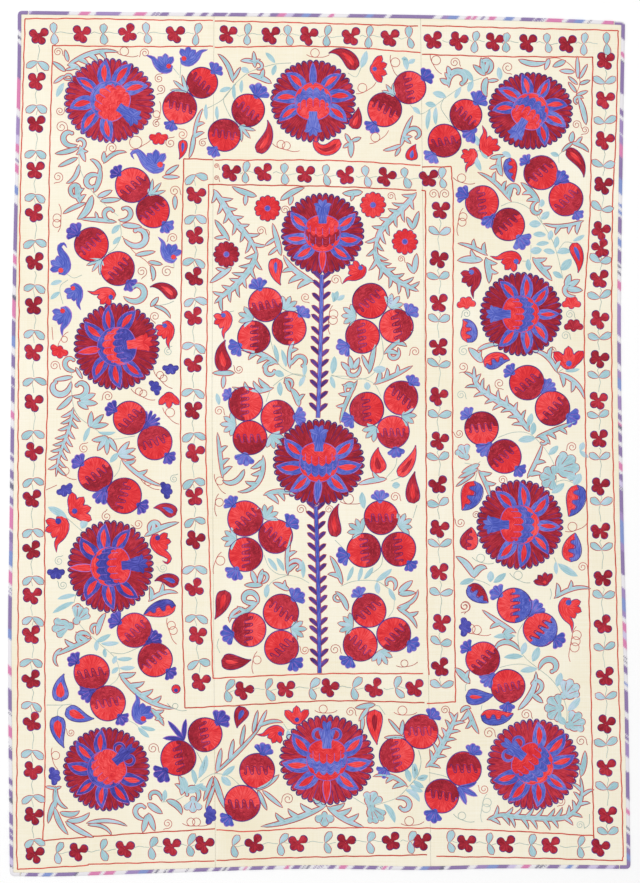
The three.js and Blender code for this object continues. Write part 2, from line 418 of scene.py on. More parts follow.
VASE_WIDTHS = np.array([0.9, 0.84, 0.82, 0.88, 1.0, 1.18, 1.2])  # from the bud outwards, in waists
VASE_LIFT = 1.0


def vase(thread, centre, crown, start, end, waist, lip, curled):
    """The bud's crown: a waisted stalk that splits into points, the outer two in curls if it is curled."""
    spine = centre + way(crown) * np.linspace(start, end, len(VASE_WIDTHS))
    padded_strip(thread, spine, VASE_WIDTHS * waist, VASE_LIFT, FILL_HEIGHT)
    mouth = centre + way(crown) * (end - 0.12 * (end - start))
    for off in (-14, 14) if curled else (-48, -16, 16, 48):
        point = path(mouth, crown + off, lip, turn=0.6 * off, steps=6)
        leaf(thread, point, 0.5 * lip, (0.6, 0.7), lift=VASE_LIFT + 0.05)
    if curled:
        for side in (-1, 1):
            seat = mouth + way(crown + side * 90) * 0.3 * lip
            curl = path(seat, crown + side * 30, 2.2 * lip, side * 260, steps=14)
            leaf(thread, curl, 0.24 * lip, (0.5, 0.5), edge="lilac", lift=VASE_LIFT - 0.1, edge_width=0.6)


# Each leaf round a rosette's bud: degrees from the way opposite the crown, where it starts and ends as
# shares of the rosette's radius, and how far it bends.
BUD_LEAVES = [(47, 0.34, 0.93, 20), (86, 0.34, 0.97, 18), (124, 0.36, 0.94, 14)]
FRILLS = 40
FRILL_POINTS = 7
PLEAT_LENGTHS = (0.1, 0.16, 0.24, 0.34)  # shares of the radius
PLEAT_THREADS = ("violet", "plum", "plum")
# The layers of a rosette: how thick its disc is, and where the pleats, leaves and bud lie above the cloth.
DISC_HEIGHT, PLEAT_LIFT, LEAF_LIFT, BUD_LIFT = 0.8, 0.6, 0.7, 0.95
BUD_FINGERS = 8


def frilled_disc(centre, wide, tall):
    """A rosette's crimson disc, frilled all round, with pleats of several lengths in from its rim."""
    count = FRILLS * FRILL_POINTS
    turn = 2 * np.pi * np.arange(count) / count
    oval = wide * tall / np.hypot(tall * np.cos(turn), wide * np.sin(turn))
    depth = np.repeat([dice.uniform(0.06, 0.12) for _ in range(FRILLS)], FRILL_POINTS)
    frill = 1.01 - depth * (1 - np.abs(np.sin(turn * FRILLS / 2)) ** 0.7)
    blob("crimson", centre, oval * frill, edge="violet", height=DISC_HEIGHT, edge_width=1.35)
    for i in range(FRILLS):
        reach = dice.choice(PLEAT_LENGTHS)
        spoke = way(360 * i / FRILLS + jitter(1.5)) * oval[i * FRILL_POINTS]
        pleat = centre + spoke * np.linspace(0.93 - reach, 0.94, 4)
        line(dice.choice(PLEAT_THREADS), pleat, width=0.85, height=0.3, lift=PLEAT_LIFT)


def rosette(x, y, wide, tall, crown, bands, straight, crown_thread, curled=False):
    """A large round flower: a frilled crimson disc with a pomegranate bud and its leaves on it."""
    centre = complex(x, y)
    frilled_disc(centre, wide, tall)
    radius = (wide + tall) / 2
    back = crown + 180
    leaf_thread = "navy" if "navy" in bands else "blue"
    for side in (-1, 1):
        for off, start, end, bend in BUD_LEAVES:
            base = centre + way(back + side * off * 0.9) * start * radius
            tip = centre + way(back + side * (off + jitter(4))) * end * radius
            bud_leaf(leaf_thread, base, tip, side * bend, (0.32 + jitter(0.03)) * radius)
    base = centre + way(back) * 0.38 * radius
    tip = centre + way(back + jitter(4)) * 0.92 * radius
    if straight == "rimmed":
        bud_leaf(leaf_thread, base, tip, jitter(8), 0.26 * radius)
    else:
        trimmed_leaf(straight, "lilac", between(base, tip, 0), 0.17 * radius, PETAL_TIP, lift=0.75)
    bud(centre, crown, radius, bands, crown_thread, curled)


def between(base, tip, bend):
    """A path from a base to a tip that bows aside by some degrees."""
    spine = path(base, bearing(tip - base) - bend, abs(tip - base), 2 * bend, steps=12)
    return base + (spine - base) * (tip - base) / (spine[-1] - base)


def bud_leaf(thread, base, tip, bend, width):
    """A leaf beside a bud, with a scarlet leaf inside it."""
    spine = between(base, tip, bend)
    trimmed_leaf(thread, "lilac", spine, width, PETAL_TIP, lift=LEAF_LIFT, rim=0.65)
    leaf("scarlet", spine[2:-2], width * 0.5, LEAF, lift=1.05, height=0.45)


def bud(centre, crown, radius, bands, crown_thread, curled):
    """A rosette's bud: bands of thread across a ball, in fingers where they meet, and the crown."""
    fingers, depth = BUD_FINGERS, 0.07 * radius
    back = dome(centre, crown, -0.45 * radius, 0.0, 0.45 * radius)
    second = dome(centre, crown, -0.27 * radius, 0.08 * radius, 0.45 * radius, fingers, depth)
    third = dome(centre, crown, -0.02 * radius, 0.22 * radius, 0.43 * radius, fingers, depth)
    front = dome(centre, crown, 0.46 * radius, 0.2 * radius, 0.41 * radius)
    arches = [back, second, third, front] if len(bands) == 3 else [back, second, front]
    vase(crown_thread, centre, crown, 0.25 * radius, 0.67 * radius, 0.15 * radius, 0.25 * radius, curled)
    for thread, outer, inner in zip(bands, arches, arches[1:]):
        band(thread, outer, inner, lift=BUD_LIFT, height=0.5)
    for arch in arches[1:-1]:
        for i in range(1, fingers):
            notch = arch[(ARCH_POINTS - 1) * i // fingers]
            pleat = notch + way(crown) * radius * np.array([0.0, 0.07, 0.15])
            line("lilac", pleat, width=0.6, height=0.25, lift=1.35)
    line("lilac", np.concatenate([back, front[::-1]]), width=0.9, height=0.45, lift=1.0, closed=True)


CROWN_SEAT = 0.93  # where a fruit's crown starts, as a share of its radius
FRUIT_FINGERS = 4
FINGER_SPAN = 0.82  # the share of a fruit's width that its fingers take up


def fruit(x, y, radius, dark, crown_x, crown_y, crown_thread="blue", second="crimson"):
    """A pomegranate in two reds that meet in a line of fingers, with its crown."""
    centre, crown = complex(x, y), complex(crown_x, crown_y)
    out = bearing(crown - centre)
    seat = centre + way(out) * radius * CROWN_SEAT
    calyx(crown_thread, "lilac", seat, out, 4, abs(crown - centre) - radius * CROWN_SEAT + 6.0, 132)
    around = np.linspace(0, 2 * np.pi, 48, endpoint=False)
    wobble = 1 + 0.012 * np.sin(3 * around + dice.uniform(0, 6))
    blob("scarlet", centre, radius * wobble, edge="violet", height=0.85, edge_width=1.1)
    s = np.linspace(-1, 1, 111)
    turns = np.sin(math.pi * FRUIT_FINGERS * (s + 1) / FINGER_SPAN + dice.choice([0, math.pi]))
    swing = np.tanh(2.2 * turns) * (1 - smooth(0.74, FINGER_SPAN, abs(s)))
    edge = np.sqrt(np.maximum(1 - (0.97 * s) ** 2, 0.0))
    along = radius * np.clip(0.24 * swing + 0.03, -edge, edge)
    meander = centre + way(dark) * along + way(dark + 90) * radius * (0.97 * s + 0.04 * swing)
    arc = centre + way(dark) * radius * edge * 0.96 + way(dark + 90) * radius * 0.97 * s
    band(second, meander, arc, lift=0.5, height=0.5)
    line("plum", meander[12:-12], width=1.1, height=0.45, lift=0.72)


# The round petals of a border flower: the way of each, how far out its middle lies and its radius.
CLOVER_PETALS = [(0, 6.4, 4.1), (106, 5.9, 3.9), (184, 5.2, 3.6), (260, 5.6, 3.7)]


def clover(x, y):
    """A small flower of four round petals, two of them larger."""
    turn = dice.uniform(15, 65)
    petals = []
    for off, reach, size in CLOVER_PETALS:
        petals.append(lobed([turn + off + jitter(9)], reach * (1 + jitter(0.06)), size, 2.2))
    trimmed_blob("crimson", "violet", complex(x, y), np.max(petals, axis=0), rim=0.85)


def leaf_pair(x, y, along, droop):
    """Two leaves across a border's stem, which bend by droop degrees towards the way that it runs."""
    tilt = jitter(12)
    for side in (-1, 1):
        heading = along + side * (90 - 0.5 * droop + jitter(6)) + tilt
        length = (10 + 0.07 * abs(droop)) * (1 + jitter(0.1))
        spine = path(complex(x, y), heading, length, -side * 0.9 * droop, steps=8)
        trimmed_leaf("pale", "brick", spine, 7.0 * (1 + jitter(0.1)), (0.85, 0.5))


def paisley_spine(x, y, heading, length, width, turn, steps):
    """The spine of a paisley: its head lies at a place and its tail leaves it and curls."""
    head = complex(x, y) - way(heading) * width * 0.45
    return path(head, heading, length, turn, tighten=1.6, steps=steps)


def drop(x, y, heading, length, width, turn, thread="crimson", accent="scarlet", share=0.42):
    """A paisley with another thread inside, which fills a share of its width."""
    spine = paisley_spine(x, y, heading, length, width, turn, steps=16)
    leaf(thread, spine, width, PAISLEY, edge="violet", height=FULL_HEIGHT)
    leaf(accent, spine[2 : 8 + int(8 * share)], width * share, (0.5, 0.9), lift=0.3)


def halved_drop(x, y, heading, length, width, turn, thread, second, side):
    """A paisley in two threads that meet in fingers. The second is on its left if side is 1."""
    spine = paisley_spine(x, y, heading, length, width, turn, steps=48)
    leaf(thread, spine[::3], width, HALVED_PAISLEY, edge="violet", height=FULL_HEIGHT)
    share = np.linspace(0, 1, len(spine))
    along = np.gradient(spine)
    left = along / abs(along) * way(90)
    half = swell(share, HALVED_PAISLEY) * width / 2
    fingers = 0.36 * np.tanh(1.8 * np.sin(2 * np.pi * 3.3 * share))
    fingers = fingers * smooth(0, 0.15, share) * smooth(0, 0.3, 1 - share)
    middle = spine + left * half * fingers
    band(second, middle, spine + side * left * half * 0.94, lift=0.3, height=0.5)
    line("plum", middle[2:-6], width=0.9, height=0.4, lift=0.55)


def berry(x, y, radius):
    """A small scarlet ball with a navy spot."""
    centre = complex(x, y)
    blob("scarlet", centre, np.full(20, radius), edge="violet", height=FULL_HEIGHT, edge_width=0.8)
    dot("navy", centre + 0.3j * radius, 0.5 * radius, lift=0.45)


# A tulip's body and tail: how far ahead and aside of its middle, and how far round and long its petals
# are. All lengths are in sizes.
TULIP_BODY = [(-0.5, 0.02), (-0.15, -0.2), (0.22, -0.08), (0.5, 0.16)]
TULIP_TAIL = [(0.82, 0.2)]
TULIP_HOOK = [(0.72, 0.26), (0.88, 0.1), (0.74, -0.06)]
TULIP_PETALS = [(50, 0.52), (88, 0.58), (128, 0.58)]


def tulip(x, y, tail, size, side, thread, spot, hooked=False):
    """A nodding flower: a full body that sweeps into a tail, petals on one side and a spot."""
    ahead, aside = way(tail) * size, way(tail + side * 90) * size
    centre = complex(x, y)
    edge = outline_for(thread)
    shape = TULIP_BODY + (TULIP_HOOK if hooked else TULIP_TAIL)
    spine = curve([centre + u * ahead + v * aside for u, v in shape], size / 10)
    trimmed_leaf(thread, edge, spine, 0.46 * size, (0.32, 1.25))
    for off, length in TULIP_PETALS:
        start = centre - 0.14 * ahead - 0.06 * aside
        petal = path(start, tail + side * off, length * size, side * -20, steps=8)
        trimmed_leaf(thread, edge, petal, 0.29 * size, (0.8, 0.5))
    dot(spot, centre - 0.34 * ahead - 0.02 * aside, 0.12 * size)


def bell(x, y, heading, size, thread, spot, petals=4):
    """An open flower seen from the side: a round seat and pointed petals."""
    seat = complex(x, y)
    edge = outline_for(thread)
    for i in range(petals):
        off = 2 * i / (petals - 1) - 1
        reach = size * (0.82 - 0.06 * abs(off))
        start = seat + way(heading + 90) * off * 0.12 * size
        petal = path(start, heading + 9.5 * petals * off, reach, 5.5 * petals * off, steps=8)
        trimmed_leaf(thread, edge, petal, 0.38 * size, (0.7, 0.5))
    cup = seat + way(heading) * 0.24 * size
    trimmed_blob(thread, edge, cup, np.full(20, 0.34 * size), rim=0.75, lift=0.02)
    dot(spot, seat + way(heading) * 0.14 * size, 0.12 * size)


def small_flower(x, y, heading, thread, size):
    """A bud seen from the side: four round lobes on a narrow seat."""
    headings = [heading + off for off in (-75, -25, 25, 75)]
    rim = lobed(headings, 0.98 * size, 0.5 * size, 0.42 * size)
    trimmed_blob(thread, outline_for(thread), complex(x, y), rim, rim=0.6)


DAISY_PETALS = 12
DAISY_RADIUS = 13.0


def daisy(x, y, thread):
    """A round flower with a scalloped rim and a blue centre."""
    centre = complex(x, y)
    headings = [360 * i / DAISY_PETALS + jitter(3) for i in range(DAISY_PETALS)]
    rim = lobed(headings, 0.79 * DAISY_RADIUS, 0.215 * DAISY_RADIUS, 0.72 * DAISY_RADIUS, 120)
    blob(thread, centre, rim, edge="violet", edge_width=0.7)
    blob("blue", centre, np.full(20, 0.2 * DAISY_RADIUS), edge="lilac", lift=0.45, height=DOT_HEIGHT)


SPIRAL_TURNS = 1.6
SPIRAL_TAIL = 4.0


def spiral(x, y, size, heading, side, thread="brick"):
    """A small spiral with a tail, drawn from its tail inwards. side is 1 or -1 for the way it winds."""
    share = np.linspace(0, 1, int(26 * SPIRAL_TURNS) + 1)
    coil = size * (1 - 0.8 * share) * way(heading + side * 360 * SPIRAL_TURNS * share)
    straight = way(heading + side * 90) * SPIRAL_TAIL * np.linspace(1, 0.15, 5)
    bowed = way(heading) * 0.06 * SPIRAL_TAIL**2 * np.linspace(1, 0, 5) ** 2
    points = np.concatenate([coil[0] - straight + bowed, coil])
    line(thread, complex(x, y) + points, **FINE_LINE)


LOOP_ARM = 9.0
LOOP_BOW = 35


def loop(x, y, size, heading, loops=1, thread="brick"):
    """A wandering line with one or more round loops in its middle."""
    ring, step = (2 * math.pi * size, 360, 22), (1.4 * size, 0, 3)
    parts = [path(0j, heading - LOOP_BOW, LOOP_ARM, LOOP_BOW, steps=8)]
    for length, turn, steps in [ring, step] * loops + [(LOOP_ARM, LOOP_BOW, 8)]:
        parts.append(parts[-1][-1] + path(0j, heading, length, turn, steps=steps)[1:])
    points = np.concatenate(parts)
    middle = (points.real.min() + points.real.max() + 1j * (points.imag.min() + points.imag.max())) / 2
    line(thread, complex(x, y) + points - middle, **FINE_LINE)


PALE_RIM = 1.0  # how far an outline shows round a pale leaf, in squares
FROND_STEPS = 14


def pale_leaf(spine, width, shape):
    trimmed_leaf("pale", "brick", spine, width, shape, rim=PALE_RIM)


def frond(x, y, heading, length, width, turn=0, left=0, right=0):
    """A scrolling leaf from a place, with curved teeth down its left and right sides."""
    spine = path(complex(x, y), heading, length, turn, tighten=1.5, steps=FROND_STEPS)
    pale_leaf(spine, (width - 1) * (0.78 if left + right > 1 else 1), FROND)
    for side, count in ((1, left), (-1, right)):
        for i in range(count):
            share = (i + 0.35) / (count + 0.35)
            at = int(share * 0.85 * FROND_STEPS)
            along = bearing(spine[at + 1] - spine[at])
            reach = min(2.2 * width, 0.5 * length) * (1 - 0.35 * share) * (1 + jitter(0.1))
            tooth = path(spine[at], along + side * 30, reach, side * 52, steps=8)
            pale_leaf(tooth, 0.26 * reach + 0.9, TOOTH)


def branch(places, width, pairs, reach):
    """A feathery branch: a thin leaf through some places, with curved teeth that point along it."""
    spine = through(places, 2.2)
    pale_leaf(spine, width, BRANCH)
    for i in range(pairs):
        for side in (-1, 1):
            share = (i + 0.6 + 0.22 * side) / pairs
            at = int(share * 0.93 * (len(spine) - 2))
            along = bearing(spine[at + 1] - spine[at])
            tooth = path(spine[at], along + side * 28, reach * (1 + jitter(0.15)), side * 46, steps=6)
            pale_leaf(tooth, 0.24 * reach, BRANCH_TOOTH)


def scroll(x, y, heading, length, width, turn):
    """A leaf that curls in to a round end."""
    width = min(width, 0.17 * length)
    spine = path(complex(x, y), heading, length, turn, tighten=1.5, steps=20)
    pale_leaf(spine, width, CURL)
    trimmed_blob("pale", "brick", spine[-1], np.full(12, 0.3 * width), rim=PALE_RIM)


def palmette(x, y, heading, size, side, lobes, spread):
    """A pale fan of round lobes on its seat at a place. side is 1 or -1 for a curl at its left or right."""
    seat = complex(x, y)
    calyx("pale", "brick", seat, heading, lobes, 0.95 * size, spread)
    if side:
        out = heading + side * (spread / 2 + 28)
        curl = path(seat, out, 1.25 * size, -side * 250, tighten=1.3, steps=16)
        pale_leaf(curl, 0.2 * size, CURL)


def plain_leaf(x, y, heading, length, width, turn=15):
    """A pale leaf with no outline."""
    leaf("pale", path(complex(x, y), heading, length, turn, steps=8), width, LEAF)


def stem(*places, thread="stem"):
    """A thin line through some places."""
    line(thread, through(places, 2.5), width=0.7, height=0.35)


TRUNK_HALF = 2.0


def trunk(start, end, pitch):
    """A length of the tree's trunk, with a pair of short leaves that point up it at every pitch."""
    start, end = complex(*start), complex(*end)
    heading = bearing(start - end)
    count = int(abs(end - start) / pitch)
    for i in range(count):
        place = end + (start - end) * (i + 0.5) / count
        for side in (-1, 1):
            sprig = path(place + way(heading) * jitter(1.8), heading + side * 30, 13, side * 30, steps=8)
            trimmed_leaf("violet", "brick", sprig, 3.9, (0.7, 0.45), rim=0.6)
    spine = curve([start, (start + end) / 2 + 0.6, end], 6.0)
    side = normals(spine) * TRUNK_HALF
    rim = np.concatenate([spine + side, (spine - side)[::-1]])
    line("brick", rim, width=1.0, height=0.3, closed=True)
    padded_strip("blue", spine, np.full(len(spine), TRUNK_HALF), 0.2, FULL_HEIGHT)


def frame_line(*places):
    """A red line of the frames, as even as a hand can sew it."""
    route = through(places, 3.0)
    at = np.arange(len(route))
    sway = 0.22 * np.sin(at * 0.55 + dice.uniform(0, 6)) + 0.15 * np.sin(at * 1.3)
    route[1:-1] += (normals(route) * sway)[1:-1]
    line("frame_red", route, width=1.35, height=0.6)


# ---- what is worked on the chart --------------------------------------------------------------

# Stems and the red lines of the frames are given by the places that they run through.
FRAME_LINES = [
    # the outer frame, panel by panel
    [(25, 18.8), (80, 18.6), (150, 19.8), (213, 20.5)], [(214.6, 21), (300, 22.8), (418, 26)],
    [(422, 25.6), (520, 28.2), (618, 30.5)],
    [(618.3, 30.5), (616, 132), (612.4, 218), (612, 400), (617, 620), (622.7, 829), (622.7, 860.7)],
    [(622.7, 860.7), (530, 858), (436.4, 856.3)], [(427, 854.8), (288, 857.7), (216.5, 860.4)],
    [(214.5, 861), (98, 864), (84, 865.6), (17.5, 869.4)],
    [(17.3, 869.4), (16.6, 819), (18.2, 600), (18.2, 420), (20.3, 200), (25, 18.8)],
    # the inner line of the first border
    [(52.6, 45.4), (130, 46.6), (213, 46.3)], [(214.6, 47.2), (324.7, 46.6), (420.5, 52.6)],
    [(422, 54.3), (498, 56.5), (593, 57)],
    [(592.8, 57), (589.7, 218), (584.6, 303), (585.3, 420), (589.7, 629), (593.4, 820), (594, 835.7)],
    [(594, 835.7), (510, 831), (430, 828)], [(430, 828), (310, 828), (251, 831.3), (216.5, 829.9)],
    [(215, 828.8), (120, 834.5), (42.8, 840.6)],
    [(42.8, 840.6), (44.9, 780), (44.9, 619), (44.9, 498), (47.4, 400), (49, 200), (52.6, 45.4)],
    # the outer line of the field's border
    [(183.8, 158.8), (213, 159.8)], [(214.6, 160), (332, 160.6), (420.5, 165.4)],
    [(422, 167), (451, 166.5)], [(451.2, 166.5), (453.3, 218), (452.5, 429), (454.7, 629), (455.5, 702)],
    [(455.5, 702), (426.9, 703.4)], [(424.4, 702.7), (329, 700.8), (229, 705.9), (184.9, 708)],
    [(184.9, 708), (182.2, 600), (180.6, 420), (181.6, 260), (183.8, 158.8)],
    # the inner line of the field's border
    [(208.6, 184.5), (327.6, 186.4), (416.4, 190.3)], [(421.5, 190), (425.4, 190.7)],
    [(425.4, 190.7), (426, 429), (427.3, 629), (429, 675)], [(423, 673.6), (317.4, 673.9), (212.9, 678.3)],
    [(212.9, 678.3), (209.5, 560), (205.9, 450), (207, 330), (208.6, 184.5)],
]

BLUE_BELT = ("scarlet", "blue", "scarlet")
# Rosettes: x, y, half width and height, where the crown points, the bud's bands, its straight leaf, the
# crown's thread and whether the crown curls.
ROSETTES = [
    (109.6, 100.6, 44.8, 41.7, -35, ("blue", "scarlet"), "rimmed", "blue"),
    (313.1, 101.2, 42.0, 40.6, 270, BLUE_BELT, "blue", "blue"),
    (530.3, 110.9, 41.8, 38.0, 238, BLUE_BELT, "rimmed", "blue"),
    (116.6, 346.5, 42.2, 42.9, 8, ("navy", "scarlet", "navy"), "scarlet", "scarlet"),
    (521.0, 314.1, 40.6, 41.3, 180, BLUE_BELT, "rimmed", "blue"),
    (110.6, 566.5, 42.3, 45.6, 5, ("scarlet", "navy", "scarlet"), "scarlet", "navy"),
    (519.9, 524.7, 42.7, 44.3, 180, BLUE_BELT, "rimmed", "blue"),
    (106.4, 769.2, 42.6, 41.3, 40, ("navy", "scarlet"), "rimmed", "navy", True),
    (326.9, 759.9, 46.9, 44.5, 90, BLUE_BELT, "scarlet", "blue", True),
    (533.2, 764.4, 45.5, 45.0, 142, BLUE_BELT, "rimmed", "blue", True),
    (322.6, 233.8, 40.9, 40.1, 90, ("scarlet", "crimson", "scarlet"), "scarlet", "blue"),
    (318.8, 462.4, 45.1, 42.5, 90, BLUE_BELT, "blue", "blue"),
]

# Pomegranates: x, y, radius, which way the dark side lies, the crown's x and y, then the crown's thread
# and the dark one where they aren't blue and crimson.
FRUIT = [
    # in the borders
    (202, 82.8, 15.5, 225, 216, 69), (179.6, 107.3, 17, 75, 171, 125),
    (132.6, 185.2, 17.4, -50, 116.5, 172, "navy"), (153, 211.2, 16.6, 130, 167, 226.7),
    (248.1, 110.3, 16.4, 230, 260, 90), (224.5, 135, 16.2, 80, 214, 151), (409.5, 87.7, 16.3, 190, 427, 76),
    (384.5, 109.7, 17, 60, 372, 127), (465.7, 115.2, 16, 225, 480, 97.5),
    (444.5, 140.8, 16.5, 280, 431, 157), (541, 172.8, 17, 130, 526, 160.6),
    (565.8, 198.8, 17, -45, 577, 214), (482.2, 202.4, 16.6, 185, 462, 193.6),
    (508.3, 224.6, 16.3, 130, 523, 242.5), (91.6, 244.5, 17, 130, 73, 230, "navy"),
    (117.6, 268.5, 17, -45, 130.5, 285, "navy"), (129.8, 418, 16.7, -45, 111.5, 408.4, "navy"),
    (154.8, 442.5, 17.2, 110, 169, 457.5, "navy"), (95.4, 474.4, 17.3, -55, 78, 461, "navy"),
    (123.8, 495.7, 17.8, 160, 142.4, 507.3, "navy"), (134.4, 630.4, 17.2, -50, 114.4, 619.6, "navy"),
    (155, 659.6, 17.2, 130, 170.5, 673, "navy"), (91.5, 672.3, 17.7, 280, 73.7, 659, "navy"),
    (107.8, 703.1, 17.6, 100, 122, 719, "navy"), (178.2, 757.9, 17.6, 10, 160, 775.4, "navy"),
    (205, 734.6, 17, 190, 222.7, 717.6, "navy"), (257.2, 770.7, 17.5, 90, 264.5, 748.4),
    (242.1, 803.4, 18, 270, 227, 819.6), (396.6, 755, 17.5, 190, 384, 772),
    (421, 731.7, 17.2, 90, 433.5, 714.4), (482.9, 659, 17, -45, 466.5, 647),
    (507.8, 686.3, 17, 280, 507.5, 706.4), (514.2, 605.4, 17.3, 0, 496.5, 592, "blue", "blue"),
    (540.3, 629.3, 17, -40, 558.9, 641, "blue", "blue"), (463.8, 769, 17.3, 90, 473.8, 749.6),
    (441.8, 795.8, 17, 80, 432.7, 816.4), (481.6, 428.3, 16.8, 95, 467.2, 414),
    (504.3, 456.5, 17, 130, 519.3, 470.4), (526.9, 382.6, 17.3, -50, 509.7, 370.9),
    (552.3, 408.3, 17.3, -45, 573.6, 418.6),
    # in the field
    (265.6, 304.5, 17, 280, 258, 283.5), (289.2, 328.2, 17, 180, 302.7, 312),
    (253.8, 337.3, 16.3, 0, 235.2, 348), (370.2, 301, 17.6, 130, 388, 301, "pale"),
    (396.1, 326, 17, 10, 411.2, 310), (362.4, 336.3, 17, 185, 343, 348),
    (245.5, 403.7, 17, 180, 228.6, 395), (277.7, 417.2, 17, 5, 300.5, 417),
    (249.9, 437.8, 17, 270, 244, 460), (366.9, 409.3, 17, 185, 347.4, 420.6),
    (401, 397.9, 17, 50, 412.7, 381), (392.9, 431.9, 16.3, 270, 395.8, 452),
    (245.2, 518.6, 17.7, -50, 230.8, 502), (275.5, 536.2, 17, 225, 292.4, 521),
    (245.5, 554.5, 17, 0, 233.7, 574), (381.2, 517.4, 17, 270, 379.7, 495.4),
    (364, 550.4, 17, 5, 342.3, 557), (398.8, 549, 17, 185, 410.5, 565), (281, 612, 17.7, 50, 297.5, 595),
    (249.1, 629.6, 17, 180, 226.4, 635.5), (281.4, 647.5, 17, -45, 296, 664.8),
    (369, 610.5, 17, 130, 358.4, 593), (393.9, 634.4, 17, -45, 412.7, 645),
    (360.3, 644.3, 17, 225, 347.4, 661.9),
]

# Each border chain: the way it runs, how far its leaf pairs droop, a middle line through it, and where its
# clovers and its leaf pairs sit along that line.
Chain = namedtuple("Chain", "way droop middle clovers pairs")
DOWN, RIGHTWARDS = 270, 0
CHAINS = [
    Chain(DOWN, 34, [(36, 38.5), (124, 36), (300, 34.5), (550, 32.5), (720, 32), (854, 34)],
          [36, 81, 124, 170, 213, 262, 306, 352, 402, 451.5, 498.6, 550, 595, 634.4, 679.7, 722.4, 771, 816,
           854],
          [62, 106, 151.5, 195, 241, 285.6, 331, 379, 431.6, 479, 530, 577, 617.5, 660, 703, 751, 796, 840]),
    Chain(RIGHTWARDS, 6, [(60, 33.5), (213, 34)],
          [82, 128, 175.4],
          [54, 103, 146.6, 196.4]),
    Chain(RIGHTWARDS, 10, [(216, 34.5), (308, 35.5), (420, 38)],
          [227.6, 271, 308.6, 351, 389.5],
          [247, 288, 326.4, 368.7, 409]),
    Chain(RIGHTWARDS, 6, [(425, 40), (527, 43), (610, 44)],
          [433.5, 457.7, 493.6, 527.4, 567],
          [475, 505.4, 547, 583.8, 606.6]),
    Chain(DOWN, -28,
          [(60, 605.5), (140, 604), (248, 600.5), (401, 598.5), (530, 601), (676, 605), (835, 608)],
          [61, 99.7, 140.5, 184.8, 231, 248.4, 279, 319.6, 359, 401, 439, 486.5, 530.6, 578, 624.5, 676.6,
           724, 767, 814.5],
          [83, 122.5, 166, 210, 262, 297.6, 338.6, 377, 416.4, 458.7, 504, 549.6, 597, 649, 698, 744.5, 789,
           833.5]),
    Chain(RIGHTWARDS, 26, [(57, 852.5), (125, 848.5), (213, 844)],
          [78, 125, 171, 204],
          [57, 102, 151, 188.7]),
    Chain(RIGHTWARDS, 26, [(216, 846), (298, 843), (427, 841)],
          [254, 298, 345, 391.4, 422.5],
          [233, 280, 325.4, 368.7, 409.8]),
    Chain(RIGHTWARDS, 20, [(432, 842), (505, 844), (600, 847)],
          [466.8, 505.4, 550.8, 599.2],
          [449, 488.5, 531, 579.4]),
    Chain(DOWN, 34, [(170, 195.5), (410, 193.5), (600, 195), (682, 200)],
          [195, 236.8, 277, 316.5, 364, 410, 453, 497, 540, 588, 635, 681.7],
          [175, 216, 259.6, 299, 344.5, 390, 433.7, 480, 519, 567, 616, 661]),
    Chain(RIGHTWARDS, 10, [(225, 172), (305, 174), (430, 178.5)],
          [231, 264, 305, 347, 386, 429],
          [245, 284, 325, 366, 405, 441.5]),
    Chain(DOWN, -28, [(200, 439.5), (440, 438.5), (690, 441)],
          [210, 259, 303, 347, 396, 441, 485, 528, 572, 623, 667.5],
          [234, 278, 321, 366, 416, 459, 505, 546, 594, 644, 686.5]),
    Chain(RIGHTWARDS, 34, [(222, 691), (328, 687.5), (425, 688.5)],
          [244, 285.4, 328.6, 374.6, 415],
          [226.4, 266.7, 310.8, 353.3, 395.8]),
]


def chain_place(chain, at):
    """The place on a chain's middle line at an x or, if it runs down, a y."""
    ats, asides = zip(*chain.middle)
    aside = np.interp(at, ats, asides)
    return complex(aside, at) if chain.way == DOWN else complex(at, aside)


CLOVER_ROOM = 9  # from a clover's middle to the stem's end
LEAF_ROOM = 2


def chain_stem(start, end, from_clover, to_pair):
    """The stem between two stops of a chain."""
    ahead = (end - start) / abs(end - start)
    sway = 1j * ahead * dice.choice([-1, 1]) * 1.6
    first = start + ahead * (CLOVER_ROOM if from_clover else 0)
    last = end - ahead * (CLOVER_ROOM if to_pair else LEAF_ROOM)
    places = [first, (first * 2 + last) / 3 + sway, (first + 2 * last) / 3 + sway * 0.3, last]
    line("stem", curve(places), width=0.7, height=0.35)


def border_chain(chain):
    """Clovers and leaf pairs in turn on a thin stem that waves between them."""
    stops = sorted([(at, "clover") for at in chain.clovers] + [(at, "pair") for at in chain.pairs])
    for (at, kind), (after, _) in zip(stops, stops[1:]):
        chain_stem(chain_place(chain, at), chain_place(chain, after), kind == "clover", kind == "pair")
    for at, kind in stops:
        centre = chain_place(chain, at)
        if kind == "clover":
            clover(centre.real + jitter(0.7), centre.imag + jitter(0.4))
        else:
            leaf_pair(centre.real, centre.imag, chain.way, chain.droop)


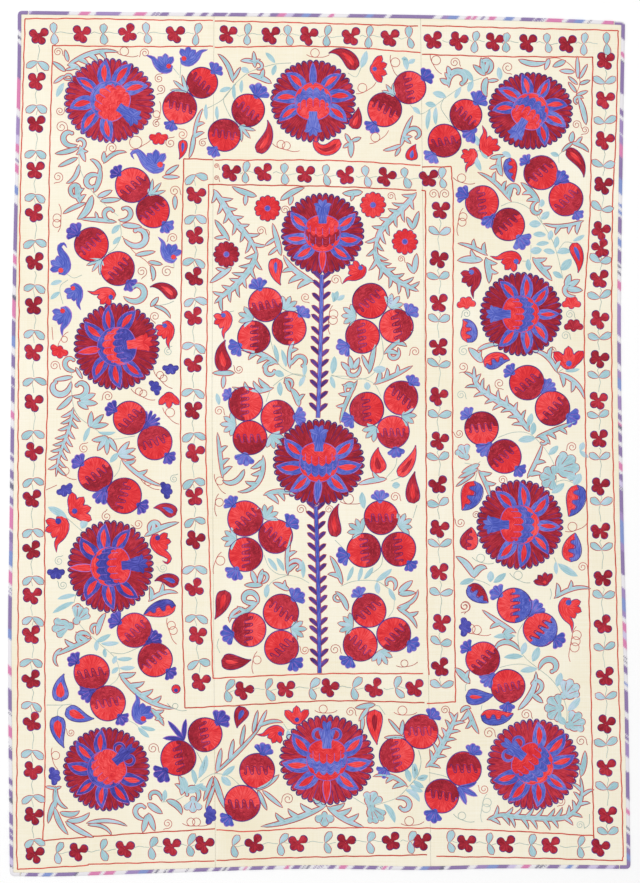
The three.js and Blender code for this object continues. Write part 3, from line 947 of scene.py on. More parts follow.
# Fans of leaves or lobes: thread, x, y, heading, how many, their length, a leaf's width and the spread.
FANS = [
    (calyx, "blue", 474, 130, 225, 4, 14, 110), (calyx, "blue", 557, 183, 45, 4, 14, 100),
    (calyx, "blue", 493, 216, 230, 4, 14, 100), (calyx, "navy", 146, 426, 50, 5, 16, 100),
    (calyx, "navy", 105, 487, 255, 4, 18, 90), (calyx, "navy", 148, 642, 40, 4, 15, 100),
    (calyx, "navy", 93, 690, 205, 4, 15, 100), (fan, "navy", 184, 740, 130, 3, 25, 4.4, 75),
    (calyx, "blue", 492, 675, 225, 4, 14, 100), (calyx, "blue", 531, 614, 55, 4, 16, 100),
    (fan, "blue", 459, 786.5, 312, 4, 21, 5.4, 108), (calyx, "blue", 489, 444, 225, 4, 14, 100),
    (calyx, "blue", 543, 391, 45, 4, 14, 100), (fan, "pale", 187, 92, 140, 5, 18, 3.4, 120),
    (fan, "pale", 150, 196, 50, 5, 18, 3.2, 110), (fan, "pale", 240, 126, 310, 5, 16, 3.2, 120),
    (fan, "pale", 394, 96, 125, 5, 14, 3.4, 110), (fan, "pale", 101, 259, 235, 5, 16, 3.2, 110),
]
# The pale leaves under the field's fruit: x, y and heading.
PALE_CALYXES = [
    (288, 302.6, 70), (245.5, 315.8, 160), (395, 301.8, 50), (348, 315.8, 180), (276.3, 440.4, -40),
    (227.9, 424.3, 180), (409.8, 415.5, 0), (370.9, 433, 225), (269, 512, 60), (228.6, 538.7, 180),
    (355.5, 527.7, 150), (405.4, 522.6, 30), (299, 628.9, 0), (345.2, 624.5, 170), (383.4, 657.5, -60),
]

# Tulips: x, y, where the tail points, size, the side of the petals, threads and whether the tail hooks.
TULIPS = [
    (162, 64, 165, 21, -1, "blue", "scarlet"), (191, 57, 10, 21, 1, "blue", "scarlet"),
    (152, 162, 165, 25, -1, "blue", "scarlet", True), (62, 263, 78, 22, 1, "blue", "scarlet", True),
    (76, 294, 300, 19, -1, "blue", "scarlet"), (63.5, 318, 280, 21, -1, "blue", "scarlet"),
    (168.4, 252, 138, 21, -1, "blue", "scarlet"), (140, 711.5, 118, 23, -1, "blue", "scarlet"),
    (104.5, 294.5, 155, 20, 1, "scarlet", "blue"), (167, 332, 292, 20, -1, "scarlet", "blue"),
    (59, 530, 277, 26, -1, "scarlet", "navy"), (160, 545, 285, 22, 1, "scarlet", "navy", True),
    (509, 259, 158, 22, 1, "scarlet", "blue"), (487, 144, 118, 22, -1, "scarlet", "scarlet"),
    (470, 158, 268, 17.5, -1, "scarlet", "scarlet"), (356, 273, 232, 20, -1, "scarlet", "blue"),
    (224.5, 322, 282, 20, -1, "scarlet", "blue"), (273.5, 733, 172, 19.5, 1, "scarlet", "navy"),
    (568.4, 611, 266, 25, 1, "scarlet", "blue"), (473, 279.5, 285, 22, -1, "crimson", "blue"),
]
# Bells: x, y, heading, size, threads, and how many petals where they aren't four.
BELLS = [
    (372, 69, 0, 19, "scarlet", "blue"), (169, 394, 270, 17, "scarlet", "scarlet", 3),
    (569, 367, 92, 25, "scarlet", "blue", 3), (72, 513, 35, 24, "scarlet", "navy"),
    (297, 722.5, 92, 20, "scarlet", "navy", 3), (545.5, 584, 112, 14, "crimson", "scarlet"),
]

# Buds and daisies: x, y, then a bud's heading, thread and size, or a daisy's thread.
SMALL_FLOWERS = [
    (158.6, 135.5, 270, "scarlet", 6.5), (60, 348.7, 245, "scarlet", 6.5), (466.5, 306, 95, "scarlet", 6.5),
    (571.4, 306, 90, "scarlet", 6.5), (573.6, 328.6, 90, "crimson", 6.5), (170.5, 366.5, 270, "navy", 5.5),
    (153, 388.7, 30, "navy", 5.5), (63.8, 487.7, 300, "navy", 6), (163.5, 491, 20, "navy", 6),
    (56, 570.5, 270, "navy", 6), (51.5, 776.5, 10, "navy", 6.2), (207, 815, 0, "navy", 6.5),
    (462, 627, 0, "navy", 6.5),
]

DAISIES = [
    (267.5, 208.4, "scarlet"), (373, 205, "scarlet"), (404.9, 241.7, "scarlet"), (226.4, 254.4, "crimson"),
]

# Paisleys: x, y, heading, length, width, turn, and their threads and the inner one's share of the width
# where they aren't crimson, scarlet and 0.42.
DROPS = [
    (261, 148, 45, 36, 13, 70), (353, 64, 110, 36, 14, 100), (355, 123, 65, 22, 13, 25),
    (336.5, 144, 240, 42, 12, -220, "scarlet", "crimson"), (411.5, 155, 90, 17, 12, -40, "scarlet", "blue"),
    (571, 153, 325, 34, 12, -60), (172, 294, 125, 30, 12, 80),
    (171, 511, 140, 24, 13, 60, "crimson", "blue"), (173, 581, 145, 25, 13, 70, "crimson", "blue"),
    (575, 248, 300, 31, 12, -50, "scarlet", "blue"), (223.5, 364, 115, 32, 16, -60),
    (275.5, 264.5, 262, 28, 14, 45, "scarlet", "blue", 0.3),
    (378, 466, 110, 26, 16, -40, "scarlet", "crimson"), (402, 472, 45, 36, 12, 40, "scarlet", "crimson"),
    (413, 497, 100, 32, 14, -30, "crimson", "scarlet"), (335, 531, 105, 34, 13, -50, "crimson", "scarlet"),
    (224, 597, 262, 31, 15, -30, "crimson", "scarlet"),
    (228.6, 661.9, -12, 30, 16, 35, "crimson", "scarlet", 0.3),
    (241.5, 713, 240, 22, 14, 25, "crimson", "blue"), (374.5, 717, 268, 35, 16, 15, "scarlet", "crimson"),
    (183, 144, 275, 20, 9, -40, "scarlet", "blue"), (60.3, 694, 100, 28, 16, -40, "blue", "scarlet", 0.62),
    (72, 712.5, -35, 30, 15, 40, "blue", "scarlet", 0.62),
    (57.5, 723, 268, 33, 15.5, 35, "blue", "scarlet", 0.62),
    (473, 697, -8, 29, 16, 30, "blue", "scarlet", 0.3),
]

# Paisleys in two halves: as above, up to the two threads and the side of the second.
HALVED_DROPS = [
    (168, 607, 190, 33, 17, 15, "navy", "scarlet", 1), (473, 491, 262, 32, 22, -40, "blue", "scarlet", -1),
    (577, 494, 268, 33, 20, -35, "blue", "scarlet", -1),
    (571.5, 553, 85, 29, 19.5, -10, "blue", "scarlet", 1),
    (510, 164, 268, 24.5, 13.5, 28, "blue", "scarlet", 1),
    (469.5, 335, 72, 25, 17, 75, "blue", "scarlet", 1),
    (490.5, 362, 38, 27, 16, -62, "scarlet", "blue", -1),
    (469, 542, 75, 23, 18, 10, "crimson", "scarlet", -1), (474, 591, -42, 26, 17, 5, "blue", "crimson", 1),
    (488, 717, -12, 33, 16, 40, "blue", "scarlet", 1),
]

# Scrolling leaves: x, y, heading, length, width, how far they turn, and their teeth to left and right.
FRONDS = [
    # the top left corner
    (68, 65, 33, 53, 6.5, -46, 0, 4), (68, 61, 105, 11, 4.5), (65, 71, 140, 15, 5, 10),
    (66, 70, 15, 14, 3.5), (64, 76, 215, 12, 4), (64, 79, -5, 9, 2.5), (78, 148, 200, 23, 5.5, -15),
    (80, 146, 285, 16, 7, 10, 1, 1), (77, 158, 205, 20, 5), (79, 165, 262, 23, 5, -65),
    (94, 192, 62, 27, 6, 40), (104, 162, 90, 10, 5), (104, 163, 52, 26, 4.5, -65),
    (101, 171, 108, 16, 5, 60), (80, 203, 105, 20, 8, -10, 1, 2), (92, 196, 258, 28, 8, -50),
    (85, 203, 200, 24, 5, 15), (98, 197, 25, 15, 5.5), (101, 201, 5, 19, 5.5),
    (194, 140, 85, 32, 5, -25, 0, 2), (194, 134, 265, 24, 5, -15), (166, 174, 35, 15, 5),
    (163, 177, 0, 16, 4.5), (175, 196, 270, 13, 5),
    # the top, round its middle rosette
    (233, 82, 100, 32, 5.5, 45), (233, 80, 60, 14, 4), (255, 67, 95, 15, 6, 0, 1, 1),
    (254, 62, 165, 13, 5, 25), (271, 83, 150, 24, 6, 25), (261, 79, 75, 10, 5), (351, 140, 270, 17, 6.5),
    (350, 142, 120, 9, 4.5), (352, 141, 20, 9, 4.5), (350, 143, 215, 8, 4),
    (401, 146, 75, 32, 5, -15, 0, 1), (401, 145, 205, 18, 4.5, -20), (400, 148, 240, 9, 4),
    (402, 136, 320, 11, 4), (256, 196, 165, 25, 6.5, -15), (246, 195, 265, 10, 5),
    (281, 200, 38, 26, 6.5, -25), (292, 196, 255, 9, 5), (362, 192, 190, 19, 7, -15), (354, 193, 250, 8, 4),
    # the top right corner
    (449, 84, 150, 10, 6), (451, 76, 110, 10, 6), (451, 80, 130, 9, 5), (485, 75, 140, 15, 6),
    (485, 73, 105, 15, 6), (486, 72, 80, 14, 5), (487, 78, 245, 19, 7, 60), (488, 81, 5, 10, 4),
    (519, 60, -22, 28, 6, 45), (549, 59, 250, 11, 5), (565, 61, 205, 13, 6), (574, 72, 175, 14, 5),
    (578, 78, 92, 21, 4.5), (580, 78, 62, 15, 4), (580, 84, 20, 10, 4), (577, 84, 140, 11, 3.5),
    (576, 92, 128, 12, 4), (577, 95, 20, 11, 4), (586, 124, 100, 29, 6, 15), (572, 143, 215, 13, 4, 15),
    (571, 142, 80, 10, 6), (576, 144, 50, 9, 4), (572, 143, -10, 19, 5, -45),
    (502, 175.5, 116, 20.5, 6.5, -55), (490.5, 158, 10, 14.5, 4.5), (499, 165.5, 198, 9.5, 4.5),
    (511, 201, 125, 44, 6, 35, 0, 3), (539, 202, 125, 26, 8, 20, 2),
    # the left, between its two upper pairs of fruit and its upper rosette
    (116, 222, 172, 35, 5, 8), (98, 221, 105, 9, 3.5), (122, 225, -5, 19, 6), (136, 255, 10, 19, 5),
    (149, 262, -10, 13, 4.5), (151, 266, -65, 15, 5, -45), (151, 306, 50, 11, 5),
    (154, 306, -12, 21, 4, -60), (76, 368, 300, 12, 4), (72, 377, 190, 18, 5), (80, 400, 22, 16, 7),
    (80, 402, -5, 17, 7), (78, 402, -35, 12, 6), (72, 396, 232, 20, 6, -25),
    # the right, down to the acanthus below its upper rosette
    (487, 255, 148, 31, 5.5, 25, 0, 2), (482, 260, 175, 24, 8, 15, 0, 1), (486, 258, 285, 25, 9, -20, 2),
    (533, 258, 310, 29, 9, 0, 2), (583, 221, 200, 40, 5.5, -40, 3), (566, 286, 70, 12, 7),
    (567, 287, 30, 14, 7), (567, 289, -5, 15, 7), (482, 362, 130, 19, 8, 10, 0, 1),
    (478, 350, 30, 22, 5, -40), (557, 372, 112, 35, 6.5, 70, 0, 2), (558, 373, -20, 38, 6.5, -60, 0, 2),
    # the upper half of the field
    (229, 240, 125, 24, 6), (226, 237, 185, 11, 4), (231, 268, 215, 25, 6), (226, 271, 165, 10, 4),
    (281, 255, 105, 32, 6), (276, 238, 215, 13, 4), (278, 247, 220, 12, 4), (314, 282, 155, 41, 8, -40, 3),
    (413, 229, 118, 13, 5.5), (413, 229, 72, 18, 5.5), (414, 273, 125, 12, 5), (414, 273, 82, 19, 6.5),
    (278, 364, 145, 41, 7, 35, 3), (290, 368, 98, 36, 5.5, -60, 0, 2), (350, 371, 135, 12, 6),
    (352, 369, 100, 13, 6), (354, 369, 65, 12, 6), (369, 373, 78, 30, 6), (369, 370, 115, 16, 5),
    (384, 354, 45, 37, 6.5, -15, 0, 2),
    # the middle of the field
    (234, 373, 180, 21, 6), (224, 376, 265, 12, 5), (273, 388, 195, 41, 7, -40, 0, 3),
    (299, 406, 100, 20, 7, 40, 0, 1), (290, 391, 110, 14, 5), (357, 381, 240, 45, 6, 20, 0, 3),
    (374, 384, 22, 42, 6, 8, 3), (244, 470, 250, 28, 6, -110), (223, 478, 97, 45, 6, 0, 0, 3),
    (263, 456, 275, 50, 7, -100, 0, 3), (264, 495, 20, 32, 7, -50, 0, 2), (386, 479, 185, 28, 6, 15, 0, 1),
    (288, 575, 95, 42, 6, -25, 0, 2), (262, 585, 180, 17, 6), (256, 583, 110, 13, 6), (259, 583, 75, 14, 6),
    (289, 590, 150, 17, 6, 15, 0, 1), (342, 584, 105, 30, 6, 20, 1), (399, 592, 40, 17, 7),
    (399, 594, 5, 16, 6),
    # the left, between its middle rosettes
    (90, 427, 85, 15, 6), (91, 427, 45, 17, 6), (92, 427, 10, 16, 6), (107, 437, 200, 15, 6, -20),
    (107, 437, 235, 16, 6), (107, 438, 270, 16, 6), (109, 438, 300, 15, 6), (118, 455, 50, 17, 6),
    (118, 455, 20, 18, 6), (119, 456, -5, 16, 6), (122, 460, -45, 48, 6, 30, 2),
    (145, 536, 30, 36, 6, -20, 1), (149, 601, 40, 31, 6, -60, 2),
    # the right, round its middle rosette
    (536, 437.5, 22, 42.5, 6, 0, 0, 3), (479, 464.5, 205, 18.5, 6), (477.5, 469, 205, 20.5, 5),
    (474.5, 473.5, 215, 22, 4), (479, 470.5, -60, 29.5, 6, -20, 2), (527.5, 477.5, 60, 36.5, 6, 15, 0, 2),
    (557.5, 467.5, 80, 12.5, 6), (474.5, 577.5, 115, 28, 7.5, 40), (474.5, 577, 80, 17.5, 7.5, -110),
    (554.5, 598, 35, 38, 6, -50, 2),
    # the left, above and beside its lower rosette
    (97, 634.5, 80, 23, 6.5, -30), (91, 638.5, 205, 40.5, 6.5, 0, 0, 2), (61.5, 648.5, 215, 21, 4, 110),
    (119.5, 674.5, -50, 66, 7.5, 45, 4), (151, 708.5, -45, 21, 5.5, -20, 1), (155.5, 719.5, 10, 7.5, 3.5),
    (181.5, 794.5, 75, 19.5, 6.5, 60, 1), (167, 800.5, -15, 21, 7, -70), (148, 803.5, -35, 17, 7),
    (148.5, 813.5, -70, 18, 6.5), (147.5, 814.5, -105, 18, 6.5),
    # the foot of the field, and the bottom round its middle rosette
    (258.5, 601, 225, 35, 6.5, -40, 0, 2), (242.5, 607.5, 200, 20.5, 4.5, 70), (347.5, 610, 105, 22, 6, 45),
    (398, 607, 10, 28, 4.5, 75), (397.5, 608.5, -25, 28, 6, -50, 2), (216, 772.5, 42, 64.5, 4.5, 10),
    (217, 772, 80, 23.5, 5.5), (229.5, 761.5, 80, 22, 5), (241, 745.5, 80, 20.5, 4.5),
    (253, 732.5, 78, 22, 4.5), (257, 731, 65, 22.5, 4.5), (258.5, 726.5, 30, 25, 4.5, -50),
    (214.5, 777, -75, 33.5, 6.5, 10), (212.5, 777, 250, 25, 5), (214.5, 785, 250, 25, 4.5),
    (256.5, 789.5, 25, 26.5, 6, 20), (258, 791, -65, 20.5, 5), (263, 791, -40, 25, 5),
    (374.5, 704.5, 190, 19, 6), (368.5, 707.5, 235, 16, 5), (363, 717.5, 265, 13, 4.5),
    (401, 734, 130, 19, 4), (401.5, 735, 85, 14.5, 5), (404, 737.5, 180, 19, 5),
    (407, 786, 140, 36.5, 6, 60, 2),
    # the right, below its middle rosette
    (515.5, 632.5, 150, 39.5, 6.5, -10, 2), (518.5, 709.5, 45, 42.5, 6.5, 50), (532.5, 694, -40, 13, 6),
    (469.5, 683, 130, 20.5, 7.5, 10, 0, 1), (461, 712, 60, 11.5, 4.5, -95),
    (467.8, 708.6, -72, 27, 7, 14, 0, 2), (581, 776, 75, 25, 6.5, 15, 1),
    # the bottom left corner
    (55.5, 787, 270, 21, 5.5), (56, 788.5, 170, 10, 3.5), (56, 788.5, 20, 5, 3),
    (54.5, 801, 250, 22.5, 5.5, 10), (55.5, 790, 275, 23, 4.5, 70), (54.5, 808, -75, 29.5, 6, 30),
    (60.5, 812.5, -20, 19.5, 6, 60), (67.5, 820.5, -5, 24, 6, 60), (66, 822, -35, 31, 6, 15),
    (87, 823, 12, 40.5, 4.5, -40), (88.5, 825, 5, 26.5, 4, -70), (326, 805.5, 206, 68, 8, -20, 0, 4),
    (327, 806.5, -39, 42, 8, 24, 3),
]
BRANCHES = [
    # places, width, pairs of teeth and their reach
    ([(214, 190), (224, 205), (232, 218), (244, 232), (252, 243), (257, 254)], 6, 6, 13),
    ([(257, 251), (253, 263), (247, 273), (235, 286), (225, 294), (215, 303)], 6, 6, 13),
    ([(416, 193), (405, 206), (391, 219), (380, 232), (376, 244), (375, 252)], 6, 6, 13),
    ([(375, 246), (376, 256), (381, 266), (395, 279), (405, 285), (418, 291)], 6, 6, 13),
    ([(529, 431), (513, 410), (498, 401), (483, 391), (475, 381), (474, 367)], 6, 8, 12),
    ([(73, 408), (70, 425), (64, 443), (59, 457), (56, 476)], 3.0, 8, 12),
    ([(426, 767), (433.5, 760), (439.5, 749.5), (445, 739.5), (451, 727.5), (457.5, 713)], 5.5, 6, 12),
    ([(487.5, 819.5), (501, 815), (518.5, 817), (554, 818.5), (568.5, 815.5), (578.5, 805.5), (582, 792),
     (580.5, 777.5)], 5, 11, 12.5),
]
# Pale fans: x, y, heading, size, the side of their curl if they have one, lobes and spread.
PALMETTES = [
    (466.5, 457, 120, 14.5, 1, 3, 100), (553, 477.5, 175, 14, 0, 5, 230), (558, 469, 20, 22, -1, 4, 130),
    (76.5, 621, 60, 17.5, 0, 4, 100), (70, 626, 190, 19.5, -1, 3, 90), (193, 799, 270, 14, 0, 3, 110),
    (370, 805.5, 70, 15.5, 1, 3, 110), (371, 806.5, -60, 19, -1, 4, 90), (564, 695.5, 50, 19, -1, 4, 120),
    (560, 708, 180, 17, 0, 5, 200), (568.5, 725.5, 30, 18, -1, 4, 120), (324.5, 814, 270, 12.5, 0, 3, 150),
]
# Leaves that curl in: x, y, heading, length, width and turn.
SCROLLS = [
    (64, 78, 60, 13, 4, -200), (77, 145, 195, 30, 6, -230), (80, 150, 30, 18, 4.5, 200),
    (101, 177, 150, 30, 5, 240), (76, 198, 150, 24, 5, -230), (255, 62, 10, 15, 4, -210),
    (406, 134, 60, 24, 4, -220), (449, 87, 100, 38, 7, -250), (487, 74, 40, 26, 6, 240),
    (583, 98, 150, 14, 4, 180), (506, 195, 85, 24, 4.5, -210), (538, 201, 205, 22, 5, 220),
    (112, 222, 165, 24, 5, -220), (119, 220, -10, 26, 5.5, 220), (124, 239, -50, 44, 6, 260),
    (124, 297, -38, 42, 6, 260), (75, 371, 180, 26, 5, -230), (71, 382, 262, 36, 6, -230),
    (73, 396, -15, 32, 6, 250), (575, 296, 190, 24, 6, -230), (272, 362, 200, 24, 5, 240),
    (292, 362, 60, 24, 5, -220), (360, 366, 270, 24, 6, -220), (398, 348, 290, 22, 5, -230),
    (291, 388, 60, 16, 4.5, 210), (346, 393, 110, 20, 5, -230), (288, 566, 60, 24, 5, -230),
    (262, 583, 20, 18, 5, 220), (394, 590, 60, 22, 6, 230), (150, 533, 110, 24, 5, -250),
    (542, 434.5, -20, 16, 4.5, -200), (74.5, 608.5, 80, 10, 3, -200), (93.5, 633.5, 130, 15.5, 4, -200),
    (90.5, 637, 130, 25.5, 5.5, 250), (161.5, 800.5, 95, 21, 5.5, 200), (144.5, 819.5, 170, 26.5, 6, -220),
    (196.5, 802, 60, 28, 6, 230), (258.5, 603, 95, 31, 6, 250), (341, 600.5, 200, 13, 4.5, -200),
    (396.5, 799, 20, 29.5, 6, -260), (511, 628.5, 190, 19, 5.5, 220), (519.5, 650, 130, 28, 6.5, 110),
    (539, 669.5, 75, 33.5, 7.5, -240), (534.5, 694, 20, 25, 6, 230),
]
# Leaves with no outline: x, y, heading, length, width and turn.
PLAIN_LEAVES = [
    (64, 83, 235, 16, 6), (206, 104, 265, 16, 4), (217, 106, 265, 14, 4), (275, 63, 125, 14, 5),
    (276, 65, 245, 11, 5), (249, 72, 150, 9, 6), (234, 84, 265, 16, 4), (242, 80, 260, 13, 4),
    (231, 88, 190, 12, 5), (361, 68, 65, 18, 7), (407, 70, 95, 14, 6), (408, 63, 20, 8, 5),
    (408, 61, 150, 7, 5), (473, 81, 125, 16, 7), (473, 81, 240, 12, 6), (461, 87, 235, 13, 5),
    (446, 97, 155, 14, 7), (436, 106, 160, 11, 6), (436, 107, 262, 18, 5), (430, 109, 255, 21, 5),
    (420, 114, 130, 10, 5), (500, 80, 90, 13, 6), (559, 156, 155, 9, 5), (511, 157, 145, 10, 6),
    (478, 146, 100, 11, 6), (481, 150, 300, 11, 5), (475, 156, 285, 16, 6), (120, 225, 220, 12, 6),
    (121, 237, 215, 11, 5), (62, 281, 190, 12, 5), (60, 292, 210, 12, 5), (528, 259, 270, 12, 6),
    (530, 251, 0, 12, 8), (541, 224, 175, 12, 8), (541, 219, 35, 11, 7), (546, 235, 170, 13, 6),
    (549, 240, 70, 10, 6), (549, 243, 180, 13, 5), (555, 248, 72, 12, 6), (555, 253, 160, 12, 6),
    (557, 253, 30, 14, 7, -50), (561, 270, 40, 15, 9), (562, 278, 140, 11, 6), (541, 207, 75, 8, 6),
    (573, 241, 20, 13, 4.5), (565, 371, 0, 15, 4), (333, 302, 60, 12, 6), (335, 301, 100, 9, 5),
    (337, 300, 25, 9, 5), (278, 363, 95, 19, 4.5), (286, 367, 97, 18, 5), (284, 376, 150, 11, 7),
    (304, 376, 80, 14, 5), (332, 374, 75, 18, 7), (373, 370, 0, 13, 8), (219, 405, 95, 12, 5),
    (280, 382, 265, 14, 6), (305, 376, 235, 12, 5), (331, 376, 280, 13, 5), (367, 382, 270, 8, 7),
    (400, 485, 180, 8, 7), (362, 492, 270, 17, 7), (277, 571, 118, 16, 5), (284, 571, 112, 15, 5),
    (303, 578, 85, 18, 5), (268, 584, 255, 14, 6), (347, 581, 60, 16, 4.5), (358, 581, 68, 15, 4.5),
    (364, 579, 45, 15, 5), (376, 581, 30, 20, 6), (377, 582, 270, 12, 6), (389, 588, 290, 14, 5),
    (90, 427, 240, 16, 5), (98, 432, -20, 18, 4, 40), (119, 453, 220, 13, 6), (67, 518, 143, 22, 8),
    (81.5, 528.5, 60, 11, 8), (76, 595, 185, 19, 5), (74, 602, 200, 24, 5.5), (527.5, 426.5, 65, 14, 6.5),
    (532, 435, 75, 13, 6.5), (535.5, 438.5, 180, 17.5, 7.5), (548.5, 454.5, 35, 13, 6.5),
    (580, 450.5, 60, 9, 6), (579.5, 450.5, -45, 11.5, 5), (573.5, 484.5, 50, 13, 9),
    (551.5, 493, 30, 16, 7.5), (474.5, 579.5, 190, 15.5, 6), (490, 582, 80, 11, 7.5),
    (493.5, 582.5, 30, 15.5, 6.5), (556, 561.5, 265, 13, 4.5), (558, 563.5, -40, 23.5, 7.5),
    (95.5, 642, 20, 17, 5.5), (101, 643.5, -5, 18, 5), (97, 640.5, 260, 10.5, 5),
    (104.5, 648.5, 270, 9, 4.5), (116.5, 656, 240, 8.5, 5), (117, 659, -5, 15.5, 4.5),
    (118.5, 667.5, 215, 9, 5), (119.5, 668, -5, 15.5, 5), (138, 727, -50, 15.5, 5),
    (140.5, 726.5, -20, 15.5, 4.5), (199, 778, 65, 21, 6.5), (195.5, 784, 95, 15.5, 5.5),
    (186.5, 793.5, 95, 17.5, 6.5), (188, 793, 25, 18, 7), (163.5, 801.5, 75, 12, 5.5),
    (288, 730, 270, 9, 5), (202, 775, 70, 20.5, 6.5), (222, 775.5, 30, 16, 6), (221.5, 776.5, -50, 13, 7.5),
    (200, 786.5, -30, 7.5, 6), (384, 804, -40, 22, 6.5, -40), (405.5, 790, -10, 19, 6.5, -60),
    (410, 782, 100, 14, 6.5), (414, 779, 80, 16, 6), (417, 779, 10, 11.5, 6), (410, 785, -35, 14.5, 6),
    (515.5, 636, 175, 22, 6), (521.5, 654.5, 65, 13, 6.5), (523, 656.5, 175, 19, 6),
    (532.5, 661.5, 60, 16, 8), (537.5, 669, 180, 17.5, 6.5), (556.5, 686.5, 65, 14.5, 7.5),
    (567.5, 711, 40, 18.5, 7.5), (565.5, 724.5, 130, 11.5, 7.5), (416.5, 776, 100, 13, 6),
    (417.5, 777, -20, 9, 5.5), (413, 780.5, -40, 13, 5.5),
]
# Spirals: x, y, size, the way their tail comes in from, and 1 or -1 for the way they wind.
SPIRALS = [
    (58, 52, 4.5, 0, 1), (60, 111, 4.5, 0, -1), (61.5, 127, 6, 0, 1), (58, 177, 5.5, 270, 1),
    (145, 53, 4.7, 180, -1), (159, 78.6, 4.5, 90, 1), (160.7, 89, 4.7, 270, 1), (156.5, 123.5, 4, 90, 1),
    (112, 148, 5.5, 180, -1), (182.4, 134.5, 5.3, 90, -1), (170.5, 143, 5.3, 90, 1), (202.8, 143, 4, 90, 1),
    (174.7, 191, 5.5, 0, 1), (216.5, 166, 2.5, 0, 1), (216.5, 178, 2.5, 0, 1), (285, 210, 4.5, 0, 1),
    (391, 196, 4, 0, 1), (454.7, 62.5, 5, 0, 1), (508, 67.5, 6, 270, -1), (576.5, 124.7, 4.5, 0, 1),
    (585, 130, 4, 270, 1), (433.5, 194, 5, 0, 1), (445, 194, 5, 180, -1), (141.7, 271.6, 5.5, 300, 1),
    (146, 233.7, 5, 200, -1), (173, 238, 5, 180, -1), (167, 271.6, 5.7, 60, 1), (155, 316.5, 5, 240, -1),
    (54.7, 365.6, 5, 0, 1), (108, 396.4, 5.3, 180, -1), (552, 350.5, 4, 0, 1), (463, 367, 5.2, 270, 1),
    (499.5, 383.5, 5.2, 270, -1), (261, 230.7, 4.5, 0, 1), (305.6, 297.4, 4.7, 270, -1),
    (335.7, 279.8, 5.2, 0, 1), (401, 259, 3.5, 0, 1), (415, 351.7, 5, 180, -1), (239, 369.3, 4.5, 180, 1),
    (219, 411, 5, 0, 1), (301, 509.4, 5, 0, 1), (329, 509.4, 4.3, 0, 1), (395, 497, 5, 0, 1),
    (84, 448.4, 5, 90, 1), (106.6, 516.5, 5, 120, 1), (138, 524, 5, 220, 1), (572, 447, 5, 180, -1),
    (459, 433.5, 4.5, 200, 1), (502.5, 480, 4.5, 0, 1), (460.5, 522.5, 5, 180, 1), (476, 515, 4, 0, 1),
    (582.5, 567, 5, 0, 1), (465, 606, 6, 270, 1), (71, 732.5, 4, 180, 1), (153, 748.5, 5.5, 0, 1),
    (167.5, 823.5, 5, 270, 1), (305, 650, 4.5, 180, 1), (335, 649.5, 5.5, 0, 1), (288, 799, 6, 180, -1),
    (350.5, 712, 5, 0, 1), (464.5, 606.5, 5.5, 300, 1), (526, 714.5, 5.5, 0, 1), (489, 733, 6, 0, 1),
    (445, 710, 4.5, 0, 1), (581, 741, 5.5, 0, 1), (484, 789, 5, 180, 1), (561, 801, 4.5, 270, 1),
]
# Lines with loops: x, y, size, heading, and how many loops where there isn't one.
LOOPS = [
    (127, 52, 4.3, -10), (141, 143, 6.2, 30), (157, 112, 3.4, 80), (57, 218, 4, 88, 2), (318, 53, 4.3, 0),
    (395, 66, 4.5, -70), (366, 88, 4.5, 30), (286, 146, 4, -15, 2), (379, 137, 4.5, 35),
    (436, 64, 4.5, -60), (464, 179, 4.2, -15), (63, 341, 3, 240), (143, 394, 3.5, -25, 2),
    (163, 379, 3.5, -45, 2), (462, 222, 4, -100, 2), (333, 320, 4.3, 265, 2), (220, 484, 4, -60),
    (219, 505, 4, -95), (352, 499, 5, 0), (219, 563, 4.5, -110), (66.6, 473, 4.3, -30),
    (150, 484, 3.5, -30), (171, 416, 4.5, -45), (576, 527, 4.5, 20), (172, 631, 4, -70, 2),
    (55.5, 758.5, 4, -75), (196.5, 822, 4, 0, 2), (256.5, 662.5, 4, -100), (407, 663.5, 3.5, 10),
    (326, 709, 4, 0), (405.5, 710.5, 4.5, 0), (412.5, 821, 4.5, 5), (476.5, 630, 4.5, -10, 2),
    (575, 644, 4.5, -100, 3),
]
GREY_SPIRALS = [
    (168.4, 351.5, 4.5, 90, 1), (569.9, 314.4, 4.5, 0, 1), (466.5, 313.7, 4.5, 180, -1),
    (565.5, 335.7, 4.5, 0, 1), (463.5, 351, 5, 90, 1), (461, 395, 4.5, 0, 1), (174, 479, 4, 90, 1),
    (59, 561, 4.5, 90, 1), (63, 585, 4.5, 180, 1), (163, 568, 4.5, 200, 1), (580, 825, 4, 0, 1),
]
GREY_LOOPS = [
    (483, 559, 4, -15), (520, 577, 4.2, -25), (177, 707, 2.7, -20), (486, 808, 4.2, 260, 2),
    (464, 817, 3.8, -20),
]
